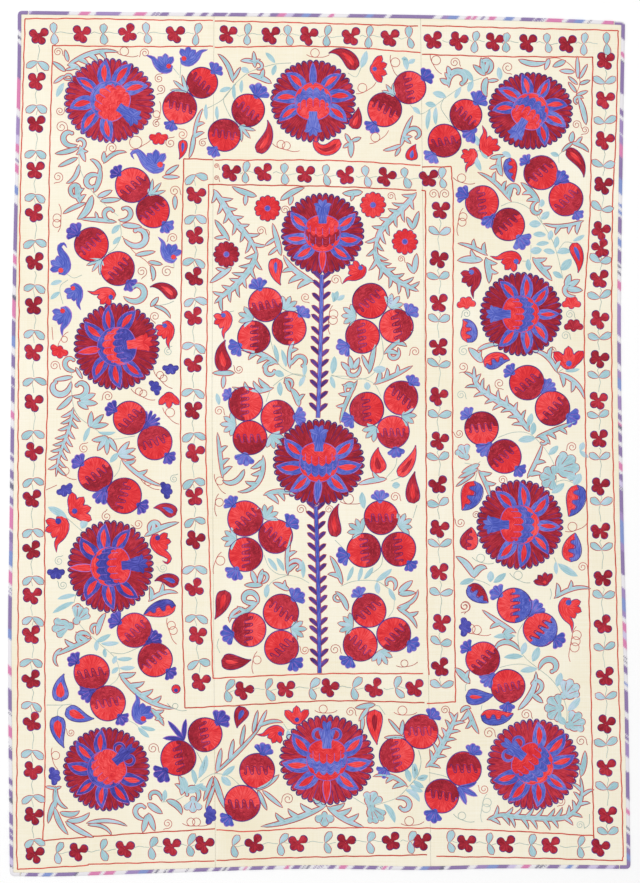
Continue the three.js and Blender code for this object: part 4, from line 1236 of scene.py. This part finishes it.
STEMS = [
    [(78.6, 149), (80, 168), (87, 184), (92.6, 192), (104, 203.5), (118, 216)], [(172.6, 67.3), (179, 75)],
    [(181, 63), (180, 78)], [(291, 63), (276, 64), (261, 68), (248, 73), (235, 84), (222, 100), (200, 112)],
    [(361, 68), (356, 77), (348, 73)], [(236, 84), (224, 98), (226, 108), (231, 118)],
    [(482, 78), (473, 81), (461, 87), (448, 96), (433, 107), (420, 114), (410, 105)],
    [(444, 98), (441, 108), (450, 122)], [(464, 150), (477, 151), (485, 149)],
    [(565, 150), (559, 155), (559, 163)], [(120, 222), (121, 236), (115, 248), (108, 253)],
    [(67, 274), (74, 278), (82, 275)], [(68, 280), (61, 285), (60, 292), (63, 304)],
    [(174, 301), (167, 304), (156, 306)], [(72, 368), (71, 382), (72, 396), (74, 408), (80, 420)],
    [(174, 262), (174, 268)],
    [(501, 206), (513, 202), (527, 207), (539, 219), (551, 238), (557, 254), (561, 270), (563, 279)],
    [(522, 261), (530, 260), (531, 245)], [(572, 243), (565, 242), (559, 249)],
    [(539, 204), (539, 214), (542, 222)], [(270, 339), (278, 363), (291, 373), (306, 377)],
    [(563, 369), (557, 373)], [(234, 311), (229, 312)],
    [(331, 375), (347, 379), (369, 377), (382, 360), (383, 347), (381, 335)],
    [(273, 386), (282, 379), (294, 374), (306, 376)], [(270, 390), (266, 402)],
    [(332, 376), (354, 377), (373, 383), (381, 396)], [(335, 540), (342, 547)],
    [(397, 458), (395, 467), (386, 478)], [(401, 477), (391, 481)], [(417, 505), (413, 518)],
    [(264, 555), (269, 567), (278, 574), (288, 575), (300, 578), (309, 583)],
    [(288, 575), (273, 581), (266, 590)], [(383, 555), (380, 567), (364, 578)],
    [(341, 586), (355, 581), (376, 581), (389, 589)],
    [(73, 408), (79, 417), (88, 424), (98, 431), (111, 439), (135, 436)],
    [(121, 460), (119, 470), (114, 477)], [(67, 518), (83, 532)], [(76, 594), (74, 603)],
    [(498, 437.5), (512.5, 432.5), (526, 432.5), (534.5, 437.5), (543.5, 447), (550, 456.5), (554.5, 466),
     (556.5, 476.5), (556, 483.5), (553, 491)],
    [(556.5, 482), (564, 480), (573, 483), (574.5, 486.5)], [(464.5, 463), (474.5, 464.5), (480.5, 461.5)],
    [(474.5, 482), (477.5, 470.5)], [(474.5, 579.5), (483.5, 582), (490, 585.5)],
    [(554, 557.5), (556.5, 563)], [(550, 588.5), (551.5, 593.5), (550, 599.5)],
    [(77, 621), (84, 629.5), (92.5, 637), (101, 645), (111, 653.5), (116.5, 660.5), (119.5, 671.5),
     (116.5, 680), (109.5, 685.5)],
    [(111, 652.5), (123.5, 653.5), (139, 647.5)], [(127.5, 720), (134.5, 723.5), (138, 726.5)],
    [(46.5, 705), (61.5, 705), (71.5, 704)], [(57.5, 716.5), (58, 709.5), (63, 705)],
    [(196.5, 751.5), (202, 763), (200.5, 772.5), (195, 784), (188, 793), (175.5, 800.5), (161.5, 802)],
    [(394.5, 594.5), (393.5, 609), (388.5, 617)], [(219, 638.5), (217, 645.5), (220, 653)],
    [(294, 728), (288, 729.5), (283.5, 723.5)],
    [(200, 782), (207.5, 776.5), (215.5, 773.5), (229.5, 776.5), (239.5, 785)],
    [(418.5, 750), (421, 761.5), (417, 776.5), (408.5, 786.5), (398, 797), (384, 802.5), (368.5, 805.5),
     (352.5, 797)],
    [(374.5, 706), (379, 706), (385, 714.5)],
    [(523, 623.5), (518, 633.5), (519.5, 648.5), (526, 658.5), (537.5, 668), (549.5, 677.5), (558, 688),
     (564, 700), (567, 713), (565.5, 727.5)],
    [(499.5, 667.5), (512.5, 664.5), (524.5, 664.5), (537.5, 669)],
    [(465.5, 691), (465.5, 685), (470, 682)], [(482, 705), (481, 710)],
    [(419, 751), (421, 763), (417.5, 776), (410, 785)], [(429, 772.5), (442.5, 775.5), (448, 777.5)],
    [(589.5, 814), (589, 824.5), (584.5, 828)],
]
OUTLINED_STEMS = [
    [(546, 59), (557, 58), (568, 63), (576, 72), (580, 82), (576, 95)],
    [(122, 236), (134, 252), (147, 262), (153, 273), (151, 279)], [(52, 327), (53, 340)],
    [(46, 490), (57, 485)],
]


def work(motif, rows, **options):
    """Draws a motif for each row of its table."""
    for row in rows:
        motif(*row, **options)


work(frond, FRONDS)
work(branch, BRANCHES)
work(scroll, SCROLLS)
work(palmette, PALMETTES)
work(plain_leaf, PLAIN_LEAVES)
work(spiral, SPIRALS)
work(spiral, GREY_SPIRALS, thread="stem")
work(loop, LOOPS)
work(loop, GREY_LOOPS, thread="stem")
work(stem, STEMS)
work(stem, OUTLINED_STEMS, thread="brick")
work(frame_line, FRAME_LINES)
for chain in CHAINS:
    border_chain(chain)
work(rosette, ROSETTES)
for motif, thread, x, y, *shape in FANS:
    motif(thread, "brick" if thread == "pale" else "lilac", complex(x, y), *shape)
for x, y, heading in PALE_CALYXES:
    fan("pale", "brick", complex(x, y) - way(heading) * 8, heading, 5, 15, 4.6, 116, (0.9, 0.5))
work(fruit, FRUIT)
work(tulip, TULIPS)
work(bell, BELLS)
work(small_flower, SMALL_FLOWERS)
work(daisy, DAISIES)
work(drop, DROPS)
work(halved_drop, HALVED_DROPS)
berry(176, 689, 4.3)
trunk((321.8, 274.7), (318, 417.7), 11.0)
trunk((315.9, 506.4), (319.6, 672.9), 10.3)


# ---- the cloth and its tape -------------------------------------------------------------------

CORNERS = {
    "top left": (17.8, 10.8),
    "top right": (625.0, 21.5),
    "bottom right": (630.4, 868.8),
    "bottom left": (9.8, 876.0),
}
Side = namedtuple("Side", "name start bends end")
SIDES = [
    Side("top", "top left", [(120, 12.0), (288, 13.3), (420, 15.0), (527, 17.6)], "top right"),
    Side("right", "top right", [(623.3, 117), (620.8, 325), (623.4, 517), (628.1, 703)], "bottom right"),
    Side("bottom", "bottom right",
         [(505, 868.3), (420, 869.9), (303, 868.8), (171, 872.6), (60, 876.2)], "bottom left"),
    Side("left", "bottom left", [(8.0, 655), (9.5, 526), (12.6, 284), (17.1, 84)], "top left"),
]


def side_line(side):
    """One side of the outline, from corner to corner."""
    return through([CORNERS[side.start], *side.bends, CORNERS[side.end]], 0.8)


SIDE_LINES = {side.name: side_line(side) for side in SIDES}


def side_at(name, at):
    """Where a side of the outline lies: x at a y for the left and right sides, y at an x for the others."""
    points = SIDE_LINES[name]
    upright = name in ("left", "right")
    across = points.real if upright else points.imag
    along = points.imag if upright else points.real
    order = np.argsort(along)
    return np.interp(at, along[order], across[order])


def panel_edge(name, y, inwards):
    """x of one edge of a panel at a y. inwards is 1 for its left edge and -1 for its right one."""
    if name in SEAM_LINES:
        return seam_x(name, y) + inwards * GAP / 2 / SQUARE
    return side_at(name, y) + inwards * HEM_IN / SQUARE


def spaced(width, first, last):
    """Even places from 0 to width, but for the first and last few, which are given."""
    count = int((width - first[-1] - last[-1]) / (GRID / SQUARE)) + 1
    middle = np.linspace(first[-1], width - last[-1], count)
    return np.concatenate([first[:-1], middle, [width - place for place in reversed(last[:-1])]]) / width


Panel = namedtuple("Panel", "node left right")
PANELS = [
    Panel("ground_left", "left", "left seam"),
    Panel("ground_centre", "left seam", "right seam"),
    Panel("ground_right", "right seam", "right"),
]
TAPED_EDGE = [0.0, 3.4, 7.0]  # how far in from an edge the grid's first lines are, in squares
SEWN_EDGE = [0.0, 0.6, 2.0, 4.0]


def panel_points(panel):
    """A grid of chart places over a panel, its outer corners drawn in."""
    down = spaced(PANEL_LONG, TAPED_EDGE, TAPED_EDGE)[:, None]
    first = TAPED_EDGE if panel.left == "left" else SEWN_EDGE
    last = TAPED_EDGE if panel.right == "right" else SEWN_EDGE
    along = spaced(PANEL_WIDE, first, last)[None, :]
    level = PANEL_START + PANEL_LONG * down
    x = panel_edge(panel.left, level, 1) * (1 - along) + panel_edge(panel.right, level, -1) * along
    inset = HEM_IN / SQUARE
    y = (side_at("top", x) + inset) * (1 - down) + (side_at("bottom", x) - inset) * down
    radius = CORNER_RADIUS / SQUARE
    into_x = np.zeros(x.shape)
    if panel.left == "left":
        into_x = np.maximum(x[:, :1] + radius - x, 0)
    if panel.right == "right":
        into_x = -np.maximum(x - x[:, -1:] + radius, 0)
    into_y = np.maximum(y[:1] + radius - y, 0) - np.maximum(y - y[-1:] + radius, 0)
    drawn = np.maximum(abs(into_x), abs(into_y)) / np.maximum(np.hypot(into_x, into_y), 1e-9)
    drawn = np.where((into_x != 0) & (into_y != 0), drawn, 1)
    return x + into_x * (1 - drawn) + 1j * (y + into_y * (1 - drawn))


def mesh_piece(name, vertices, faces, maps, values):
    """A mesh object from arrays. maps are UV maps, and values attributes, with a row for each vertex."""
    mesh = bpy.data.meshes.new(name)
    mesh.vertices.add(len(vertices))
    mesh.vertices.foreach_set("co", vertices.astype(np.float32).ravel())
    mesh.loops.add(faces.size)
    mesh.loops.foreach_set("vertex_index", faces.ravel().astype(np.int32))
    mesh.polygons.add(len(faces))
    mesh.polygons.foreach_set("loop_start", np.arange(0, faces.size, 4, dtype=np.int32))
    mesh.polygons.foreach_set("loop_total", np.full(len(faces), 4, dtype=np.int32))
    mesh.polygons.foreach_set("use_smooth", np.ones(len(faces), dtype=bool))
    mesh.update(calc_edges=True)
    for key, uv in maps.items():
        layer = mesh.uv_layers.new(name=key)
        layer.data.foreach_set("uv", uv[faces.ravel()].astype(np.float32).ravel())
    for key, value in values.items():
        kind, field = ("FLOAT", "value") if value.ndim == 1 else ("FLOAT_COLOR", "color")
        attribute = mesh.attributes.new(key, kind, "POINT")
        attribute.data.foreach_set(field, value.astype(np.float32).ravel())
    mesh.validate()
    piece = bpy.data.objects.new(name, mesh)
    bpy.context.scene.collection.objects.link(piece)
    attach(piece, "root")
    return piece


def face_out(piece):
    """Turns a closed mesh's faces outwards."""
    shape = bmesh.new()
    shape.from_mesh(piece.data)
    bmesh.ops.recalc_face_normals(shape, faces=shape.faces)
    shape.to_mesh(piece.data)
    shape.free()


def cloth_panel(panel):
    """One panel of the ground: a thin closed sheet that lies as unevenly as the cloth does."""
    x, y = in_frame(panel_points(panel))
    top = rise(x, y)
    bottom = np.maximum(top - CLOTH_THICK, 0)
    bottom[[0, 1, -2, -1], :] = RIM_BOTTOM
    if panel.left == "left":
        bottom[:, [0, 1]] = RIM_BOTTOM
    if panel.right == "right":
        bottom[:, [-2, -1]] = RIM_BOTTOM
    number = np.arange(x.size).reshape(x.shape)
    ring = np.concatenate([number[0, :-1], number[:-1, -1], number[-1, :0:-1], number[:0:-1, 0]])
    after = np.roll(ring, -1)
    walls = np.stack([ring, after, after + x.size, ring + x.size], axis=-1)
    faces = np.concatenate([quads(number), quads(number) + x.size, walls])
    vertices = np.concatenate([np.stack([x, y, z], axis=-1).reshape(-1, 3) for z in (top, bottom)])
    name = panel.node.replace("ground", "cotton")
    piece = mesh_piece(name, vertices, faces, {"cloth": vertices[:, :2]}, {})
    face_out(piece)
    return piece


# The tape's fold, from the back of the cloth round its edge to the face and back along the inside of
# the fold: how far in and how high, in millimetres.
TAPE_SECTION = np.array([
    (8.5, 0.0), (4.5, 0.0), (1.2, 0.1), (0.0, 1.0), (0.0, 2.1), (1.2, 3.0), (4.5, 3.1), (8.2, 2.98),
    (8.5, 2.35), (4.5, 2.3), (1.5, 2.25), (0.8, 1.85), (0.8, 1.25), (1.5, 0.8), (4.5, 0.75), (8.5, 0.7),
])
FOLD_END = len(TAPE_SECTION) - 1  # the number of the section's last point


def outline_loop():
    """The cloth's outline, clockwise from its top left corner, and the tape that covers each point."""
    radius = CORNER_RADIUS / SQUARE
    points, strips = [], []
    for side, following in zip(SIDES, SIDES[1:] + SIDES[:1]):
        route, onward = SIDE_LINES[side.name], SIDE_LINES[following.name]
        start, end = route[0], route[-1]
        kept = route[(abs(route - start) > radius) & (abs(route - end) > radius)]
        leave = end + (route[-4] - end) / abs(route[-4] - end) * radius
        arrive = end + (onward[3] - end) / abs(onward[3] - end) * radius
        t = np.linspace(0, 1, 10)[:-1]
        turn = (1 - t) ** 2 * leave + 2 * t * (1 - t) * end + t**2 * arrive
        for place in np.concatenate([kept, turn]):
            from_corner = min(abs(place.real - start.real), abs(place.real - end.real))
            if side.name in ("top", "bottom") and from_corner > TAPE_END / SQUARE:
                strips.append(side.name)
            else:
                strips.append("left" if place.real < MIDDLE.real else "right")
            points.append(place)
    return np.array(points), np.array(strips)


def strip_route(name, points, strips):
    """The part of the outline under one strip, as evenly spaced chart places."""
    chosen = strips == name
    first = next(i for i in range(len(chosen)) if chosen[i] and not chosen[i - 1])
    run = np.roll(points, -first)[: chosen.sum()]
    along = np.concatenate([[0], np.cumsum(abs(np.diff(run)))])
    trim = GAP / 2 / SQUARE
    at = np.linspace(trim, along[-1] - trim, int(along[-1] * SQUARE / TAPE_STEP))
    return np.interp(at, along, run.real) + 1j * np.interp(at, along, run.imag)


# The tape's dyes, as the shader wants them.
DYES = {
    "purple": (0.17, 0.08, 0.32),
    "violet": (0.28, 0.16, 0.46),
    "blue": (0.12, 0.22, 0.58),
    "pink": (0.70, 0.12, 0.36),
    "white": (0.84, 0.82, 0.84),
    "lilac": (0.60, 0.52, 0.76),
    "dark": (0.05, 0.04, 0.12),
}
# Where each stripe of the tape starts and its dye: x along the top and bottom, y along the other sides.
STRIPES = {
    "top": """18 purple 28 lilac 32 purple 70 white 81 pink 91 white 97 violet 122 white 136 pink 147 white
        154 purple 157 white 158 purple 160 white 162 purple 170 white 187 purple 195 white 203 purple
        209 white 214 purple 228 white 231 purple 248 white 260 purple 264 white 271 purple 279 pink
        287 lilac 295 purple 304 blue 311 purple 322 white 331 pink 335 white 350 purple 368 blue
        374 purple 387 white 392 purple 436 white 443 violet 450 blue 460 white 468 pink 472 white
        474 pink 478 white 483 purple 485 white 490 pink 497 white 506 blue 515 white 522 purple
        535 white 537 purple 540 white 541 purple 543 white 544 purple 546 white 548 pink 564 white
        569 violet 576 blue 585 white 590 dark 592 white 604 pink 619 white""",
    "left": """0 purple 30 white 35 dark 38 white 42 purple 77 pink 108 white 115 violet 134 lilac
        143 pink 151 white 158 purple 160 white 163 pink 172 white 185 blue 193 white 203 purple
        250 white 254 pink 263 white 266 purple 284 white 294 dark 298 pink 316 white 319 purple
        335 blue 346 white 353 purple 366 white 375 purple 384 white 386 purple 401 white 410 pink
        418 white 426 purple 452 white 455 purple 460 white 469 purple 478 white 481 dark 488 white
        496 purple 503 white 506 pink 528 white 530 purple 540 violet 550 blue 565 white 570 pink
        583 white 587 dark 588 white 590 purple 592 white 594 purple 628 blue 638 white 664 pink
        674 white 688 purple 709 white 712 dark 713 white 725 pink 736 white 742 dark 743 white
        745 dark 746 white 748 purple 758 white 777 purple 784 white 789 purple 796 white 797 dark
        801 white 812 purple 823 white 827 purple 832 white 833 purple 839 white 844 purple 856 lilac
        864 dark 866 white""",
    "right": """0 white 24 purple 41 white 54 pink 59 white 62 dark 64 purple 95 white 111 purple 117 white
        121 violet 135 white 137 violet 146 pink 158 purple 180 blue 195 white 205 blue 208 white
        212 blue 216 white 219 purple 235 white 240 blue 248 white 252 purple 264 white 267 dark
        269 white 274 dark 276 white 282 pink 291 white 306 violet 338 white 344 purple 366 white
        372 violet 380 blue 391 white 397 violet 411 white 415 purple 422 white 424 pink 427 dark
        431 white 435 purple 443 white 447 purple 458 white 464 pink 472 white 475 purple 482 lilac
        488 dark 490 white 491 purple 514 violet 522 blue 545 violet 552 purple 576 white 589 violet
        600 blue 612 violet 619 white 624 pink 633 lilac 641 pink 650 white 658 dark 660 white
        662 dark 664 white 667 purple 675 white 684 blue 687 white 692 purple 713 white 720 purple
        736 white 738 purple 742 white 744 violet 758 white 773 purple 801 white 811 pink 816 white
        829 dark 831 white 835 purple 847 white 849 purple 855 blue 862 purple""",
    "bottom": """0 white 14 dark 18 white 25 purple 37 white 42 blue 50 white 54 purple 73 white 74 dark
        76 white 88 pink 99 white 103 pink 113 white 125 violet 138 blue 146 purple 152 white 154 dark
        157 white 163 dark 165 white 167 purple 172 white 185 dark 186 white 193 purple 207 white
        212 purple 219 white 222 dark 224 white 227 purple 238 white 243 pink 245 white 249 purple
        262 white 266 purple 273 white 284 pink 288 white 291 purple 299 white 301 dark 303 white
        305 dark 308 white 313 purple 314 white 317 purple 318 white 320 purple 321 white 324 purple
        325 white 327 purple 334 white 338 pink 345 white 351 purple 363 white 366 purple 376 white
        379 dark 380 white 381 pink 385 white 388 violet 390 white 401 purple 414 white 419 blue
        427 purple 438 white 439 dark 443 white 447 purple 467 white 474 violet 486 blue 496 purple
        507 lilac 514 white 521 pink 528 white 535 dark 537 white 539 dark 541 white 543 dark 544 white
        546 purple 558 white 565 blue 571 white 576 purple 587 lilac 596 purple 605 lilac 613 purple""",
}
TAPE_SLANT = 0.8  # how far a stripe's edge runs along the tape for each step across it


def stripe_dyes(name, chart, inward):
    """The dye of each point of a strip of tape."""
    words = STRIPES[name].split()
    starts = np.array([float(word) for word in words[::2]])
    dyes = np.array([(*DYES[word], 1.0) for word in words[1::2]])
    if name in ("left", "right"):
        at = chart.imag - TAPE_SLANT * (inward if name == "left" else -inward)
    else:
        at = chart.real + TAPE_SLANT * (inward if name == "top" else -inward)
    return dyes[np.clip(np.searchsorted(starts, at, side="right") - 1, 0, len(starts) - 1)]


def tape_strip(name, points, strips):
    """A strip of tape folded over the cloth's edge, as a closed mesh, and its length in metres."""
    route = strip_route(name, points, strips)
    inward = TAPE_SECTION[:, 0] * MM / SQUARE
    chart = route[:, None] + normals(route)[:, None] * inward[None, :]
    x, y = in_frame(chart)
    z = 0 * x + TAPE_SECTION[None, :, 1] * MM
    along = 0 * x + lengths(route)[:, None] * MM
    round_fold = np.concatenate([[0], np.cumsum(np.hypot(*np.diff(TAPE_SECTION, axis=0).T))]) * MM
    number = np.arange(x.size).reshape(x.shape)
    sides = quads(np.concatenate([number, number[:, :1]], axis=1))
    ends = []
    for row in (number[0], number[-1]):
        for i in range(FOLD_END // 2):
            ends.append([row[i], row[i + 1], row[FOLD_END - 1 - i], row[FOLD_END - i]])
    vertices = np.stack([x, y, z], axis=-1).reshape(-1, 3)
    weave = np.stack([along, 0 * x + round_fold[None, :]], axis=-1).reshape(-1, 2)
    dyes = stripe_dyes(name, chart, inward[None, :] + 0 * x).reshape(-1, 4)
    faces = np.concatenate([sides, np.array(ends)])
    piece = mesh_piece(f"tape_{name}", vertices, faces, {"tape": weave}, {"dye": dyes})
    face_out(piece)
    return piece, float(along[-1, 0])


# ---- materials --------------------------------------------------------------------------------


class Shader:
    """A material's node tree, with short ways to add nodes and join them."""

    def __init__(self, name):
        self.material = bpy.data.materials.new(name)
        self.material.use_nodes = True
        self.nodes = self.material.node_tree.nodes
        self.links = self.material.node_tree.links
        self.skin = self.nodes["Principled BSDF"]

    def put(self, socket, value):
        """Joins another node's output to a socket, or gives it a plain value."""
        if isinstance(value, bpy.types.NodeSocket):
            self.links.new(value, socket)
        else:
            socket.default_value = value

    def math(self, operation, a, b=0.0):
        node = self.nodes.new("ShaderNodeMath")
        node.operation = operation
        self.put(node.inputs[0], a)
        self.put(node.inputs[1], b)
        return node.outputs[0]

    def plus(self, a, b):
        return self.math("ADD", a, b)

    def times(self, a, b):
        return self.math("MULTIPLY", a, b)

    def blend(self, share, a, b):
        """A share of a number, and the rest of another."""
        return self.plus(self.times(a, share), self.times(b, 1 - share))

    def stretched(self, vector, scale):
        node = self.nodes.new("ShaderNodeMapping")
        self.put(node.inputs["Vector"], vector)
        node.inputs["Scale"].default_value = scale
        return node.outputs[0]

    def noise(self, vector, scale, detail, roughness):
        """Noise over a vector that is stretched first. A larger scale makes it finer."""
        node = self.nodes.new("ShaderNodeTexNoise")
        self.put(node.inputs["Vector"], self.stretched(vector, scale))
        node.inputs["Scale"].default_value = 1.0
        node.inputs["Detail"].default_value = detail
        node.inputs["Roughness"].default_value = roughness
        return node.outputs["Fac"]

    def uv(self, name):
        node = self.nodes.new("ShaderNodeUVMap")
        node.uv_map = name
        return node.outputs[0]

    def attribute(self, name, output="Fac"):
        node = self.nodes.new("ShaderNodeAttribute")
        node.attribute_name = name
        return node.outputs[output]

    def parts(self, vector):
        node = self.nodes.new("ShaderNodeSeparateXYZ")
        self.put(node.inputs[0], vector)
        return node.outputs[0], node.outputs[1]

    def ramp(self, fac, stops):
        node = self.nodes.new("ShaderNodeValToRGB")
        self.put(node.inputs[0], fac)
        ramp = node.color_ramp
        while len(ramp.elements) < len(stops):
            ramp.elements.new(0.5)
        for element, (at, colour) in zip(ramp.elements, stops):
            element.position = at
            element.color = (*colour, 1)
        return node.outputs[0]

    def mix(self, fac, a, b):
        """Two colours mixed. A mix node's colours are its inputs 6 and 7 and its output 2."""
        node = self.nodes.new("ShaderNodeMix")
        node.data_type = "RGBA"
        self.put(node.inputs[0], fac)
        self.put(node.inputs[6], a)
        self.put(node.inputs[7], b)
        return node.outputs[2]

    def surface(self, values):
        """Fills sockets of the material's own shader."""
        for name, value in values.items():
            self.put(self.skin.inputs[name], value)

    def bump(self, height, distance):
        node = self.nodes.new("ShaderNodeBump")
        node.inputs["Strength"].default_value = 0.5
        node.inputs["Distance"].default_value = distance
        self.put(node.inputs["Height"], height)
        self.links.new(node.outputs[0], self.skin.inputs["Normal"])


def ridges(shader, value, pitch):
    """Even ridges across a coordinate, from 0 to 1."""
    wave = shader.math("SINE", shader.times(value, 2 * math.pi / pitch))
    return shader.plus(shader.times(wave, 0.5), 0.5)


def srgb(red, green, blue):
    """A colour given as it looks on a screen, 0 to 255, as the shader wants it."""
    channel = np.array([red, green, blue]) / 255
    return tuple(np.where(channel <= 0.04045, channel / 12.92, ((channel + 0.055) / 1.055) ** 2.4))


STITCH_PITCH = 1.1  # between the strands of filled work
CHAIN_PITCH = 2.6  # between the links of a line


def thread_material(name, tones, fills):
    """Silk thread: strands side by side, some dyed deeper than others, with a soft sheen."""
    shader = Shader(name)
    stitch = shader.uv("stitch")
    across, along = shader.parts(stitch)
    strand = shader.noise(stitch, (0.42, 0.05, 1), 3.0, 0.7)
    patch = shader.noise(shader.uv("cloth"), (38, 38, 38), 2.0, 0.5)
    fac = shader.plus(shader.blend(0.75, strand, patch), shader.times(shader.attribute("tone"), 0.05))
    deep, main, bright = [srgb(*tone) for tone in tones]
    shader.surface({
        "Base Color": shader.ramp(fac, [(0.38, deep), (0.5, main), (0.62, bright)]),
        "Roughness": 0.6,
        "Specular IOR Level": 0.2,
        "Sheen Weight": 0.05,
        "Sheen Roughness": 0.4,
    })
    lines = ridges(shader, across, STITCH_PITCH) if fills else ridges(shader, along, CHAIN_PITCH)
    shader.bump(shader.plus(lines, shader.times(strand, 0.8)), 0.25 * MM)
    return shader.material


def plain_material(name, colour):
    shader = Shader(name)
    shader.surface({"Base Color": (*colour, 1), "Roughness": 0.9})
    return shader.material


# Each thread's slot, its deep, main and bright colours, and whether it fills shapes or draws lines.
FILLS, LINES = True, False
THREADS = {
    "crimson": ("thread_crimson", [(130, 16, 36), (168, 30, 50), (206, 56, 72)], FILLS),
    "scarlet": ("thread_scarlet", [(208, 32, 44), (234, 54, 58), (252, 96, 96)], FILLS),
    "blue": ("thread_blue", [(58, 72, 168), (84, 98, 194), (126, 134, 214)], FILLS),
    "navy": ("thread_navy", [(52, 52, 140), (70, 70, 168), (104, 104, 200)], FILLS),
    "pale": ("thread_pale_blue", [(150, 190, 200), (172, 208, 214), (196, 214, 232)], FILLS),
    "lilac": ("thread_outline_violet", [(116, 84, 180), (148, 104, 196), (196, 130, 200)], LINES),
    "violet": ("thread_outline_violet", [(58, 30, 100), (84, 48, 128), (112, 76, 160)], LINES),
    "plum": ("thread_outline_violet", [(88, 20, 76), (122, 34, 98), (160, 62, 130)], LINES),
    "brick": ("thread_outline_red", [(160, 60, 66), (190, 80, 80), (216, 110, 104)], LINES),
    "frame_red": ("thread_outline_red", [(178, 60, 46), (204, 78, 62), (230, 100, 84)], LINES),
    "stem": ("thread_stem", [(150, 168, 160), (176, 192, 184), (198, 210, 200)], LINES),
}
CREAM_DARK, CREAM, CREAM_PALE = srgb(238, 228, 198), srgb(244, 237, 216), srgb(250, 246, 232)
WEAVE_PITCH = 0.9 * MM
RIB_PITCH = 0.8 * MM
WORN = (0.75, 0.7, 0.8, 1)  # the colour that rubbed tape fades to


def ground_material():
    """Handwoven cotton: a plain weave with thick and thin threads, slubs and a few faint stains."""
    shader = Shader("cream_cotton")
    cloth = shader.uv("cloth")
    x, y = shader.parts(cloth)
    weft = shader.noise(cloth, (9, 620, 1), 3.0, 0.65)
    warp = shader.noise(cloth, (620, 9, 1), 3.0, 0.65)
    cloud = shader.noise(cloth, (3.2, 2.4, 1), 4.0, 0.6)
    threads = shader.blend(0.62, weft, warp)
    fac = shader.blend(0.55, threads, cloud)
    shader.surface({
        "Base Color": shader.ramp(fac, [(0.36, CREAM_DARK), (0.5, CREAM), (0.66, CREAM_PALE)]),
        "Roughness": 0.9,
        "Specular IOR Level": 0.2,
        "Sheen Weight": 0.1,
    })
    weave = shader.times(ridges(shader, x, WEAVE_PITCH), ridges(shader, y, WEAVE_PITCH))
    shader.bump(shader.plus(shader.times(threads, 2.2), shader.times(weave, 0.12)), 0.3 * MM)
    return shader.material


def tape_material():
    """Striped tape: a fine ribbed weave in the dye of each stripe, a little rubbed."""
    shader = Shader("striped_tape")
    tape = shader.uv("tape")
    along, _ = shader.parts(tape)
    worn = shader.noise(tape, (260, 700, 1), 3.0, 0.6)
    paler = shader.mix(shader.times(worn, 0.35), shader.attribute("dye", "Color"), WORN)
    shader.surface({"Base Color": paler, "Roughness": 0.75, "Sheen Weight": 0.15})
    shader.bump(shader.plus(ridges(shader, along, RIB_PITCH), worn), 0.2 * MM)
    return shader.material


# ---- the pieces -------------------------------------------------------------------------------


def thread_piece(name):
    """Everything worked in one thread, as one mesh."""
    stock = heaps[name]
    vertices = np.concatenate(stock.places)
    faces = np.concatenate(stock.faces)
    maps = {"stitch": np.concatenate(stock.stitch), "cloth": vertices[:, :2]}
    piece = mesh_piece(f"needlework_{name}", vertices, faces, maps, {"tone": np.concatenate(stock.tone)})
    slot, tones, fills = THREADS[name]
    piece.data.materials.append(thread_material(f"{name}_silk", tones, fills))
    return piece


needlework = [thread_piece(name) for name in THREADS]

bpy.ops.mesh.primitive_plane_add(size=FLOOR_SIZE, location=(0, 0, 0))
floor = bpy.context.object
floor.name = "floor"
floor.data.materials.append(plain_material("pale_floor", (0.985, 0.985, 0.985)))

cotton = ground_material()
for panel in PANELS:
    piece = cloth_panel(panel)
    piece.data.materials.append(cotton)
    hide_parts(panel.node)

striped = tape_material()
outline, strip_names = outline_loop()
for side in SIDES:
    piece, long = tape_strip(side.name, outline, strip_names)
    piece.data.materials.append(striped)
    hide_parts(f"binding_{side.name}")


# ---- light and camera -------------------------------------------------------------------------


def soft_light(name, place, size, power):
    """A large square lamp that faces the middle of the cloth."""
    lamp = bpy.data.lights.new(name, "AREA")
    lamp.energy = power
    lamp.size = size
    holder = bpy.data.objects.new(name, lamp)
    holder.location = place
    holder.rotation_euler = (-Vector(place)).to_track_quat("-Z", "Y").to_euler()
    bpy.context.scene.collection.objects.link(holder)


scene = bpy.context.scene
scene.world = bpy.data.worlds.new("studio")
scene.world.use_nodes = True
background = scene.world.node_tree.nodes["Background"]
background.inputs["Color"].default_value = (1, 1, 1, 1)
background.inputs["Strength"].default_value = 0.75
soft_light("key", place=(-1.3, 1.2, 4.9), size=2.4, power=90)
scene.view_settings.view_transform = "Standard"

camera = bpy.data.cameras.new("camera")
camera.lens = LENS
camera.sensor_width = SENSOR
camera.sensor_fit = "AUTO"
eye = bpy.data.objects.new("camera", camera)
distance = IMAGE_HEIGHT * SQUARE * LENS / SENSOR
eye.location = (*in_frame(complex(IMAGE_WIDTH, IMAGE_HEIGHT) / 2), distance + CLOTH_TOP)
scene.collection.objects.link(eye)
scene.camera = eye
